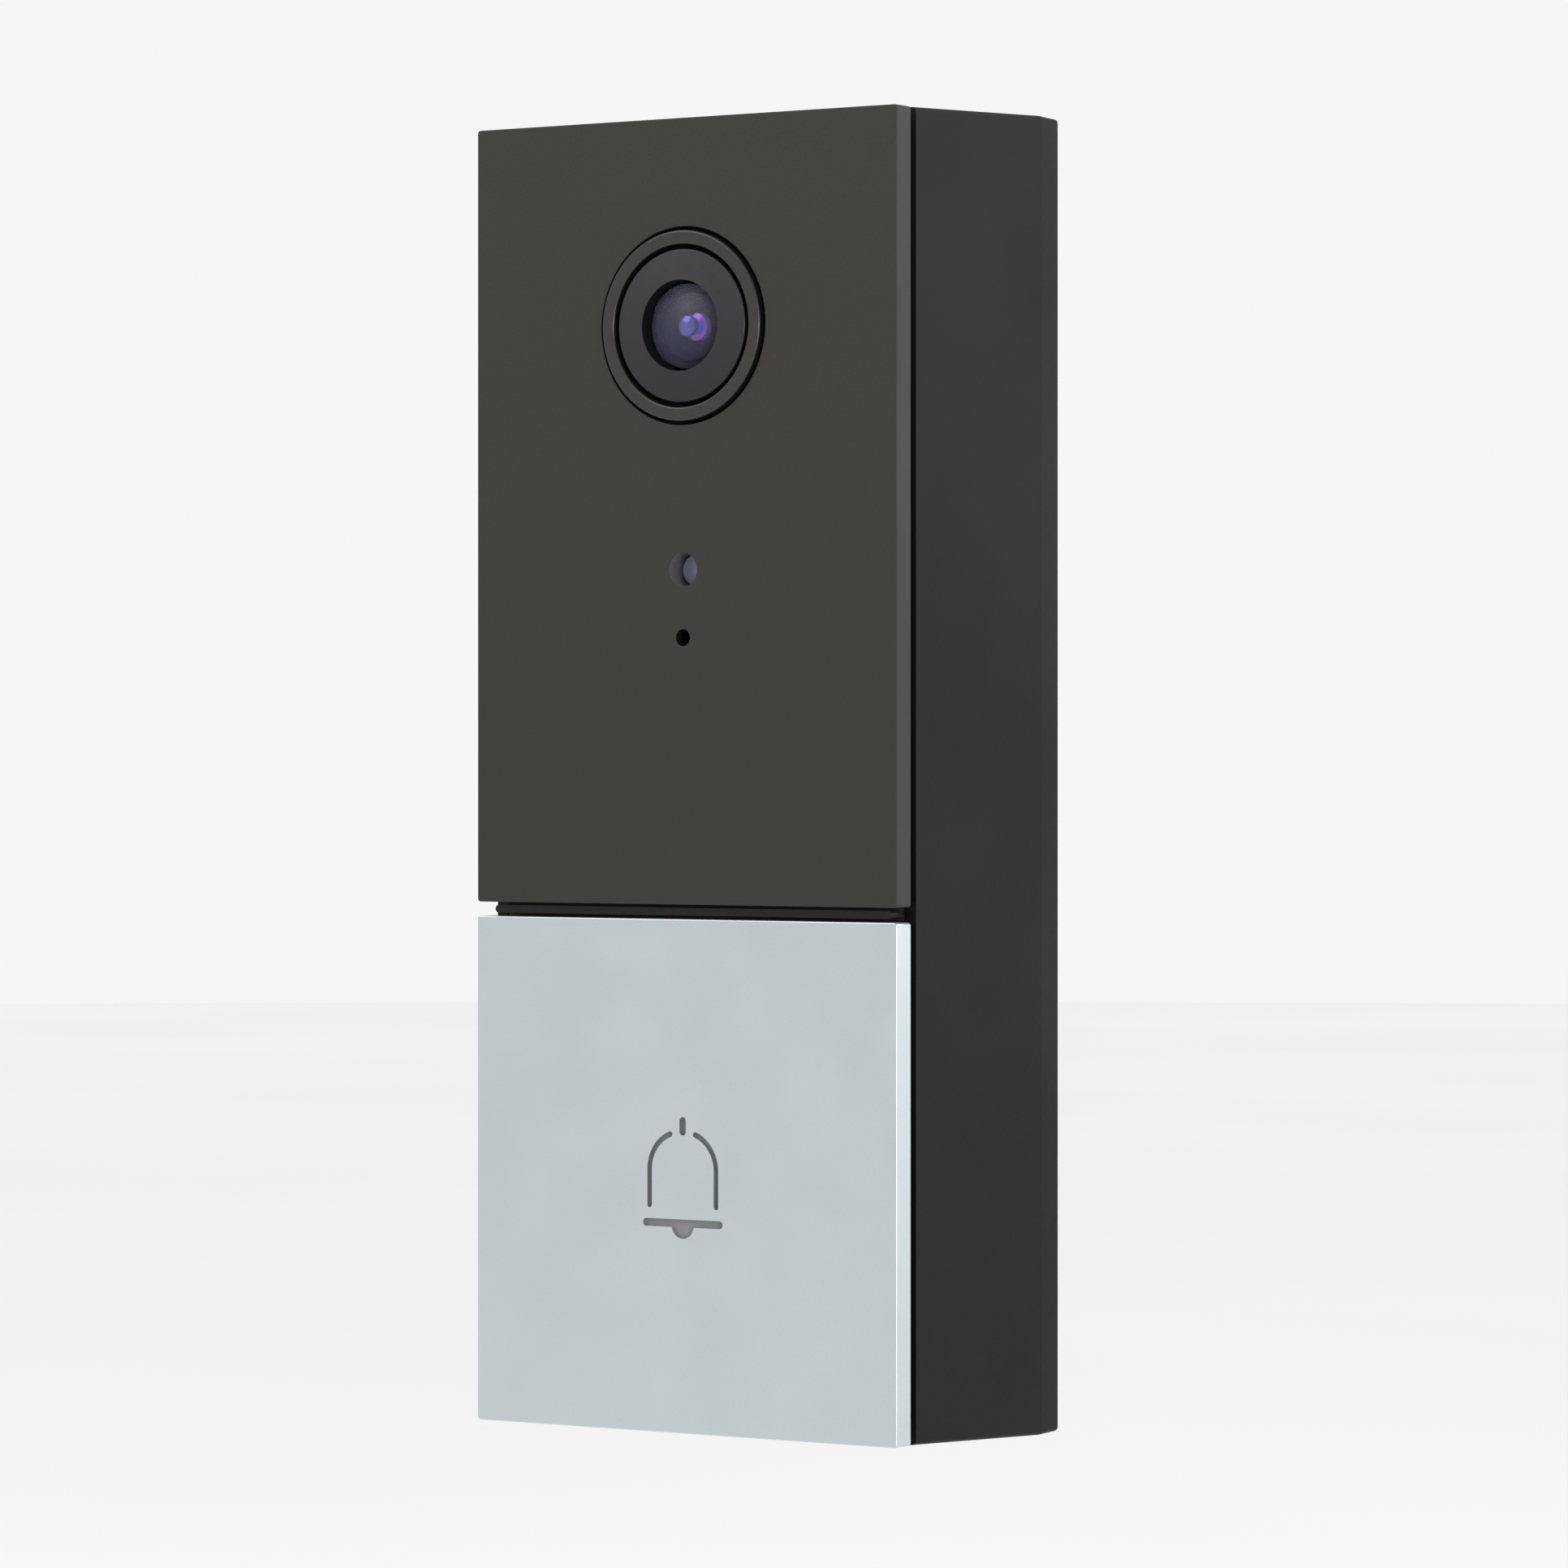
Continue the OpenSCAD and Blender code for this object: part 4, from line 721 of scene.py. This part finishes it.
class DOORBELL_OT_housing(bpy.types.Operator):
    """Add the moulded case with its soft outer edges"""

    bl_idname = "doorbell.housing"
    bl_label = "Case"

    def execute(self, context):
        sizes = context.scene.doorbell_case
        obj = copy_of("rear_housing")

        def corner(edge):
            return not at_depth(edge, edge.verts[0].co.y) and all(
                is_outer(Vector((0, 0, v.co.z))) and is_outer(Vector((v.co.x, 0, 0))) for v in edge.verts)

        def outer_loop(y):
            return lambda edge: at_depth(edge, y) and all(is_outer(v.co) for v in edge.verts)

        soften(obj, sizes.corner_round, corner, 4)
        soften(obj, sizes.rim_round, outer_loop(HOUSING_LOW.y))
        soften(obj, sizes.parting_round, outer_loop(-sizes.strip_depth), 2)
        soften(obj, sizes.rear_round, outer_loop(HOUSING_HIGH.y))
        finish_piece(obj, "case_shell", "housing_plastic", ["rear_housing"])
        return {"FINISHED"}


def add_plate(low, high, sizes):
    """Plate with rounded upright corners and soft front and back edges."""
    obj = add_block(low, high)
    soften(obj, sizes.corner_round, lambda e: along(e, 1), 4)
    soften(obj, sizes.edge_round, lambda e: at_depth(e, low.y))
    soften(obj, sizes.edge_round / 2, lambda e: at_depth(e, high.y), 2)
    return obj


class DOORBELL_OT_cover(bpy.types.Operator):
    """Add the dark camera cover with its three holes"""

    bl_idname = "doorbell.cover"
    bl_label = "Camera Cover"

    def execute(self, context):
        sizes = context.scene.doorbell_plates
        obj = add_plate(COVER_LOW, COVER_HIGH, sizes)
        holes = [
            (RING_RADIUS + sizes.ring_gap, CAM_Z),
            (sizes.sensor_radius, SENSOR_Z),
            (sizes.mic_radius, MIC_Z),
        ]
        cut(obj, *(add_rod(radius, Y_FRONT - MM, Y_PLATE_BACK + MM, 0, z) for radius, z in holes))
        for radius, z in holes:
            soften(obj, sizes.hole_edge,
                   lambda e, radius=radius, z=z: at_depth(e, Y_FRONT) and on_circle(e, radius, 0, z))
        finish_piece(obj, "camera_cover", "cover_paint", ["upper_cover"])

        def on_wall(radius, z):
            return lambda at: (reach(at, z) < radius + HAIR
                               and Y_FRONT + sizes.hole_edge < at.y < Y_PLATE_BACK - SAME_PLACE)

        paint_faces(obj, "lens_black", on_wall(sizes.mic_radius, MIC_Z))
        # the sensor hole's wall gets a lighter finish: painted light on a wall that lies in shade
        paint_faces(obj, "hole_liner", on_wall(sizes.sensor_radius, SENSOR_Z))
        return {"FINISHED"}


def arc(centre, radius, start, end, steps):
    """Points along an arc, in degrees from the X axis."""
    angles = [radians(start + (end - start) * i / steps) for i in range(steps + 1)]
    return [(centre[0] + radius * cos(a), centre[1] + radius * sin(a)) for a in angles]


def stroke_outline(path, width, cap_steps=10):
    """Outline of a stroke of one width along a path of [x, z] points, with round ends."""
    path = [Vector(p) for p in path]
    ways = [(b - a).normalized() for a, b in zip(path, path[1:])]
    ways = [ways[0], *((a + b).normalized() for a, b in zip(ways, ways[1:])), ways[-1]]
    sides = [Vector((-w.y, w.x)) * width / 2 for w in ways]
    left = [p + s for p, s in zip(path, sides)]
    right = [p - s for p, s in zip(path, sides)]

    def cap(point, side):
        turns = [-pi * i / cap_steps for i in range(1, cap_steps)]
        return [point + Vector((side.x * cos(t) - side.y * sin(t), side.x * sin(t) + side.y * cos(t)))
                for t in turns]

    return left + cap(path[-1], sides[-1]) + right[::-1] + cap(path[0], -sides[0])


def bell_outlines(sizes):
    """Outlines of the bell's strokes, bar, stem and clapper, round the bar's middle."""
    radius = sizes.half_width - ARC_INSET
    outlines = []
    for side in (-1, 1):
        shoulder = arc((sizes.half_width - radius, sizes.shoulder), radius, 0, ARC_END, 24)
        path = [(sizes.half_width, sizes.foot), *shoulder]
        outlines.append(stroke_outline([(side * x, z) for x, z in path], sizes.stroke))
    inset = (sizes.stem_length - sizes.bar) / 2
    stem = [(0, sizes.stem_height - inset), (0, sizes.stem_height + inset)]
    outlines.append(stroke_outline(stem, sizes.bar))
    half = sizes.bar_half - sizes.bar / 2
    outlines.append(stroke_outline([(-half, 0), (half, 0)], sizes.bar))
    outlines.append(arc((0, -sizes.bar / 4), sizes.clapper + sizes.bar / 4, 180, 360, 28))
    return outlines


class DOORBELL_OT_push_plate(bpy.types.Operator):
    """Add the silver push plate with the engraved bell"""

    bl_idname = "doorbell.push_plate"
    bl_label = "Push Plate"

    def execute(self, context):
        bell = context.scene.doorbell_bell
        obj = add_plate(PUSH_LOW, PUSH_HIGH, context.scene.doorbell_plates)
        floor = Y_FRONT + bell.depth
        up = PUSH_LOW.z + bell.above_edge
        for outline in bell_outlines(bell):
            cut(obj, add_outline([(x, z + up) for x, z in outline], Y_FRONT - MM, floor))
        finish_piece(obj, "push_plate", "push_silver", ["button_plate"])
        paint_faces(obj, "icon_grey", lambda at: (
            abs(at.y - floor) < SAME_PLACE and abs(at.x) < bell.bar_half + bell.stroke
            and up - BELL_BELOW < at.z < up + BELL_ABOVE))
        return {"FINISHED"}


class DOORBELL_OT_camera(bpy.types.Operator):
    """Add the camera ring, the window disc, the lens and its barrel"""

    bl_idname = "doorbell.camera"
    bl_label = "Camera"

    def execute(self, context):
        sizes = context.scene.doorbell_camera
        self.ring(sizes)
        self.disc(sizes)
        self.barrel(sizes)
        self.lenses(sizes)
        return {"FINISHED"}

    def ring(self, sizes):
        """Raised ring with a ledge behind the window disc."""
        front, back, seat = RING_LOW.y, RING_HIGH.y, DISC_HIGH.y
        ledge = DISC_RADIUS - sizes.ledge
        obj = add_turned([
            (sizes.ring_inner, front), (RING_RADIUS, front), (RING_RADIUS, back), (ledge, back),
            (ledge, seat), (sizes.ring_inner, seat),
        ], 0, CAM_Z)
        for radius in (RING_RADIUS, sizes.ring_inner):
            soften(obj, sizes.ring_edge,
                   lambda e, radius=radius: at_depth(e, front) and on_circle(e, radius, 0, CAM_Z), 5)
        finish_piece(obj, "ring_bezel", "ring_paint", ["camera_ring"])
        paint_faces(obj, "lens_black", lambda at: at.y > Y_FRONT + sizes.paint_depth)

    def disc(self, sizes):
        """Shallow cone from its opening down to its edge, with a matt black opening wall."""
        front, back = DISC_LOW.y, DISC_HIGH.y
        brim = front + sizes.disc_rise
        obj = add_turned([
            (sizes.aperture, front), (DISC_RADIUS, brim), (DISC_RADIUS, back), (sizes.aperture, back),
        ], 0, CAM_Z)
        soften(obj, sizes.disc_edge,
               lambda e: at_depth(e, brim) and on_circle(e, DISC_RADIUS, 0, CAM_Z), 3)
        soften(obj, sizes.disc_edge / 3,
               lambda e: at_depth(e, front) and on_circle(e, sizes.aperture, 0, CAM_Z), 2)
        finish_piece(obj, "window_disc", "window_dark", ["camera_window"])
        paint_faces(obj, "lens_black", lambda at: (
            reach(at, CAM_Z) < sizes.aperture + HAIR or at.y > brim + sizes.disc_edge))

    def barrel(self, sizes):
        """Threaded barrel whose bore steps inwards behind the front glass."""
        front, back = BARREL_LOW.y, BARREL_HIGH.y
        bore = LENS_RADIUS - BORE_WALL
        step = (bore - THROAT_RADIUS) / BORE_STEPS
        inside = []
        for i in range(BORE_STEPS):
            radius = bore - (i + 1) * step
            depth = LENS_HIGH.y + i * sizes.baffle_pitch
            inside += [(radius + step, depth), (radius, depth)]
        inside.append((THROAT_RADIUS, back))
        thread = []
        for i in range(int((back - front - BARREL_HEAD) / THREAD_PITCH)):
            depth = back - i * THREAD_PITCH
            thread += [(BARREL_RADIUS - THREAD_CREST, depth),
                       (BARREL_RADIUS - THREAD_ROOT, depth - THREAD_PITCH / 2)]
        head = [(BARREL_RADIUS, front + BARREL_HEAD), (BARREL_RADIUS, front)]
        obj = add_turned([(bore, front), *inside, *thread, *head], 0, CAM_Z)
        finish_piece(obj, "lens_tube", "lens_black", ["lens_barrel"])

    def lenses(self, sizes):
        """Domed front glass, hollow behind, and two coated elements deeper in the bore."""
        def dome(radius, front, sag, steps=20):
            """Profile of a round dome from its middle out to its rim."""
            curve = (radius * radius + sag * sag) / (2 * sag)
            radii = [radius * i / steps for i in range(steps + 1)]
            return [(r, front + curve - (curve * curve - r * r) ** 0.5) for r in radii]

        front, back, lip = LENS_LOW.y, LENS_HIGH.y, BARREL_LOW.y - HAIR
        plug = LENS_RADIUS - PLUG_STEP
        hollow = dome(plug - PLUG_WALL, front + sizes.glass_wall, HOLLOW_RISE)
        rim = [(LENS_RADIUS, lip), (plug, lip), (plug, back), (plug - PLUG_WALL, back)]
        outside = dome(LENS_RADIUS, front, sizes.glass_rise)
        obj = add_turned([*outside, *rim, *hollow[::-1]], 0, CAM_Z, closed=False)
        finish_piece(obj, "front_glass", "lens_glass", ["front_lens"], flat=False)
        elements = []
        for radius, depth in ((sizes.second_radius, sizes.second_depth),
                              (sizes.third_radius, sizes.third_depth)):
            low = DISC_LOW.y + depth
            back = low + ELEMENT_DEPTH
            elements.append(add_turned([*dome(radius, low, ELEMENT_RISE), (radius, back), (0, back)],
                                       0, CAM_Z))
        obj = finish_piece(join(elements), "inner_glass", "lens_glass", ["inner_lens"], flat=False)
        obj.data.materials.clear()
        obj.data.materials.append(finish("blue_coating"))
        third = DISC_LOW.y + sizes.third_depth
        paint_faces(obj, "violet_coating", lambda at: at.y > third - SAME_PLACE)


def rounded_copy(node, width, angle=35, segments=2):
    """Merged copy of a CAD node with rounded edges."""
    obj = copy_of(node)
    apply_modifier(obj, "BEVEL", width=width, segments=segments, limit_method="ANGLE",
                   angle_limit=radians(angle), use_clamp_overlap=True)
    return obj


def slot_of(node):
    """Material slot of a CAD node."""
    return next(p["material_slot"] for p in frame["record"]["subparts"] if p["node"] == node)


def add_rounded(pieces, width):
    """Rounded copies of CAD nodes, from a table of nodes and piece names."""
    for node, name in pieces.items():
        finish_piece(rounded_copy(node, width), name, slot_of(node), [node])


class DOORBELL_OT_inner_frame(bpy.types.Operator):
    """Add the inner frame with its divider rib"""

    bl_idname = "doorbell.inner_frame"
    bl_label = "Inner Frame"

    def execute(self, context):
        add_rounded({"front_frame": "inner_frame"}, context.scene.doorbell_inner.frame_edge)
        return {"FINISHED"}


class DOORBELL_OT_bracket(bpy.types.Operator):
    """Add the wall bracket and the screw that locks the case to it"""

    bl_idname = "doorbell.bracket"
    bl_label = "Wall Bracket"

    def execute(self, context):
        sizes = context.scene.doorbell_case
        obj = copy_of("wall_bracket")

        def corner(edge):
            return along(edge, 1) and all(abs(v.co.x) > BRACKET_HIGH.x - SAME_PLACE for v in edge.verts)

        soften(obj, sizes.bracket_round, corner, 6)
        apply_modifier(obj, "BEVEL", width=sizes.bracket_edge, segments=3, limit_method="ANGLE",
                       angle_limit=radians(35), use_clamp_overlap=True)
        finish_piece(obj, "wall_plate", "bracket_grey", ["wall_bracket"])
        add_rounded({"security_screw": "lock_screw"}, context.scene.doorbell_inner.screw_edge)
        return {"FINISHED"}


class DOORBELL_OT_seals(bpy.types.Operator):
    """Add the rubber and foam seals"""

    bl_idname = "doorbell.seals"
    bl_label = "Seals"

    def execute(self, context):
        add_rounded({
            "front_seal": "case_seal",
            "mic_boot": "microphone_boot",
            "mic_membrane": "microphone_screen",
            "cover_tape": "cover_adhesive",
            "speaker_gasket": "speaker_foam",
        }, context.scene.doorbell_inner.rubber_edge)
        return {"FINISHED"}


class DOORBELL_OT_button_inside(bpy.types.Operator):
    """Add the button carrier, its return pads and the boot over the switch"""

    bl_idname = "doorbell.button_inside"
    bl_label = "Button Inside"

    def execute(self, context):
        sizes = context.scene.doorbell_inner
        add_rounded({"button_carrier": "snap_carrier"}, sizes.carrier_edge)
        for node, name in (("return_pads", "silicone_pads"), ("switch_boot", "silicone_boot")):
            obj = rounded_copy(node, sizes.rubber_edge, 30, 3)
            finish_piece(obj, name, slot_of(node), [node])
            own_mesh(obj)
        return {"FINISHED"}


class DOORBELL_OT_speaker(bpy.types.Operator):
    """Add the speaker with its cone, and the wire mesh over the sound slots"""

    bl_idname = "doorbell.speaker"
    bl_label = "Speaker"

    def execute(self, context):
        sizes = context.scene.doorbell_inner
        add_rounded({
            "speaker_frame": "speaker_basket",
            "speaker_cone": "speaker_diaphragm",
            "speaker_magnet": "speaker_yoke",
        }, sizes.part_edge)
        low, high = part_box("speaker_mesh")
        span = high - low
        bpy.ops.object.select_all(action="DESELECT")
        bpy.ops.mesh.primitive_grid_add(x_subdivisions=round(span.x / sizes.mesh_pitch),
                                        y_subdivisions=round(span.y / sizes.mesh_pitch), size=1,
                                        location=(low + high) / 2)
        obj = bpy.context.object
        obj.scale = (span.x, span.y, 1)
        bpy.ops.object.transform_apply(location=True, rotation=True, scale=True)
        apply_modifier(obj, "WIREFRAME", thickness=sizes.mesh_wire, use_boundary=True, use_even_offset=True,
                       offset=0)
        finish_piece(obj, "sound_mesh", "steel", ["speaker_mesh"])
        return {"FINISHED"}


class DOORBELL_OT_electronics(bpy.types.Operator):
    """Add the parts on the boards, the terminals and the small screws"""

    bl_idname = "doorbell.electronics"
    bl_label = "Electronics"

    def execute(self, context):
        sizes = context.scene.doorbell_inner
        add_rounded({
            "infrared_leds": "infrared_lamps",
            "lens_holder": "lens_mount",
            "image_sensor": "sensor_package",
            "light_sensor": "light_sensor_package",
            "microphone": "microphone_can",
            "processor": "main_processor",
            "memory_chips": "memory_packages",
            "radio_shield": "radio_can",
            "board_header": "header_block",
            "flex_connectors": "ribbon_sockets",
            "bridge_rectifier": "rectifier_block",
            "power_inductor": "inductor_core",
            "power_capacitors": "capacitor_cans",
            "terminal_block": "terminal_housing",
            "terminal_contacts": "terminal_clamps",
            "switch_case": "tact_switch",
            "reset_switch": "setup_switch",
            "reset_key": "setup_key",
            "light_pipe": "sensor_window",
        }, sizes.part_edge)
        add_rounded({
            "frame_screws": "frame_screw_set",
            "board_screws": "board_screw_set",
            "camera_screws": "camera_screw_set",
            "terminal_screws": "terminal_screw_set",
        }, sizes.screw_edge)
        return {"FINISHED"}


class DOORBELL_OT_stage(bpy.types.Operator):
    """Add the floor, the soft studio lights and the camera"""

    bl_idname = "doorbell.stage"
    bl_label = "Stage"

    def execute(self, context):
        sizes = context.scene.doorbell_stage
        self.floor(sizes)
        self.lights(context)
        self.camera(context, sizes)
        return {"FINISHED"}

    def floor(self, sizes):
        """Wide pale floor below the case."""
        bpy.ops.object.select_all(action="DESELECT")
        bpy.ops.mesh.primitive_circle_add(vertices=sizes.floor_sides, radius=FLOOR_RADIUS, fill_type="NGON",
                                          location=(0, 0, -sizes.floor_drop))
        floor = bpy.context.object
        floor.name = "studio_floor"
        p = Painter("floor_white")
        p.link(p.blend(p.spread(p.noise(0.6, 2), 0.0, 1.0), (0.93, 0.93, 0.93), (0.96, 0.96, 0.96)),
               p.shader.inputs["Base Color"])
        p.set(Roughness=0.9, Specular_IOR_Level=0.1)
        floor.data.materials.append(p.material)

    def lights(self, context):
        """White surroundings and three area lights turned to the case."""
        world = bpy.data.worlds.new("studio_air")
        world.use_nodes = True
        air = world.node_tree.nodes["Background"]
        air.inputs["Color"].default_value = (1, 1, 1, 1)
        air.inputs["Strength"].default_value = AIR_LIGHT
        context.scene.world = world
        for name, place, size, watts in LAMPS:
            bpy.ops.object.light_add(type="AREA", location=place)
            lamp = context.object
            lamp.name = name
            lamp.data.size = size
            lamp.data.energy = watts
            lamp.rotation_euler = (-Vector(place)).to_track_quat("-Z", "Y").to_euler()

    def camera(self, context, sizes):
        """Upright camera that stands to the right of the front."""
        a = sizes.azimuth
        place = Vector((sin(a) * sizes.distance + cos(a) * sizes.aside,
                        -cos(a) * sizes.distance + sin(a) * sizes.aside, sizes.height))
        bpy.ops.object.camera_add(location=place, rotation=(pi / 2, 0, a))
        camera = context.object
        camera.name = "front_camera"
        camera.data.lens = sizes.focal
        camera.data.sensor_width = SENSOR_WIDTH
        camera.data.shift_y = sizes.rise
        camera.data.clip_start = 0.01
        camera.data.clip_end = 50
        context.scene.camera = camera
        context.scene.view_settings.view_transform = "Standard"


STEPS = (
    DOORBELL_OT_stage,
    DOORBELL_OT_frame_finishes,
    DOORBELL_OT_housing,
    DOORBELL_OT_cover,
    DOORBELL_OT_push_plate,
    DOORBELL_OT_camera,
    DOORBELL_OT_inner_frame,
    DOORBELL_OT_bracket,
    DOORBELL_OT_seals,
    DOORBELL_OT_button_inside,
    DOORBELL_OT_speaker,
    DOORBELL_OT_electronics,
)


class DOORBELL_PT_panel(bpy.types.Panel):
    """Lists the doorbell's pieces"""

    bl_idname = "DOORBELL_PT_panel"
    bl_label = "Video Doorbell"
    bl_space_type = "VIEW_3D"
    bl_region_type = "UI"
    bl_category = "Doorbell"

    def draw(self, context):
        for step in STEPS:
            self.layout.operator(step.bl_idname)


GROUPS = {
    "doorbell_case": CaseSizes,
    "doorbell_plates": PlateSizes,
    "doorbell_camera": CameraSizes,
    "doorbell_bell": BellSizes,
    "doorbell_inner": InnerSizes,
    "doorbell_colours": Colours,
    "doorbell_stage": StageSizes,
}


def register():
    for name, group in GROUPS.items():
        bpy.utils.register_class(group)
        setattr(bpy.types.Scene, name, PointerProperty(type=group))
    for step in (*STEPS, DOORBELL_PT_panel):
        bpy.utils.register_class(step)


def unregister():
    for step in reversed((*STEPS, DOORBELL_PT_panel)):
        bpy.utils.unregister_class(step)
    for name, group in GROUPS.items():
        delattr(bpy.types.Scene, name)
        bpy.utils.unregister_class(group)


def main():
    """Builds every piece in order."""
    register()
    for step in STEPS:
        group, name = step.bl_idname.split(".")
        getattr(getattr(bpy.ops, group), name)()


if __name__ == "__main__":
    main()
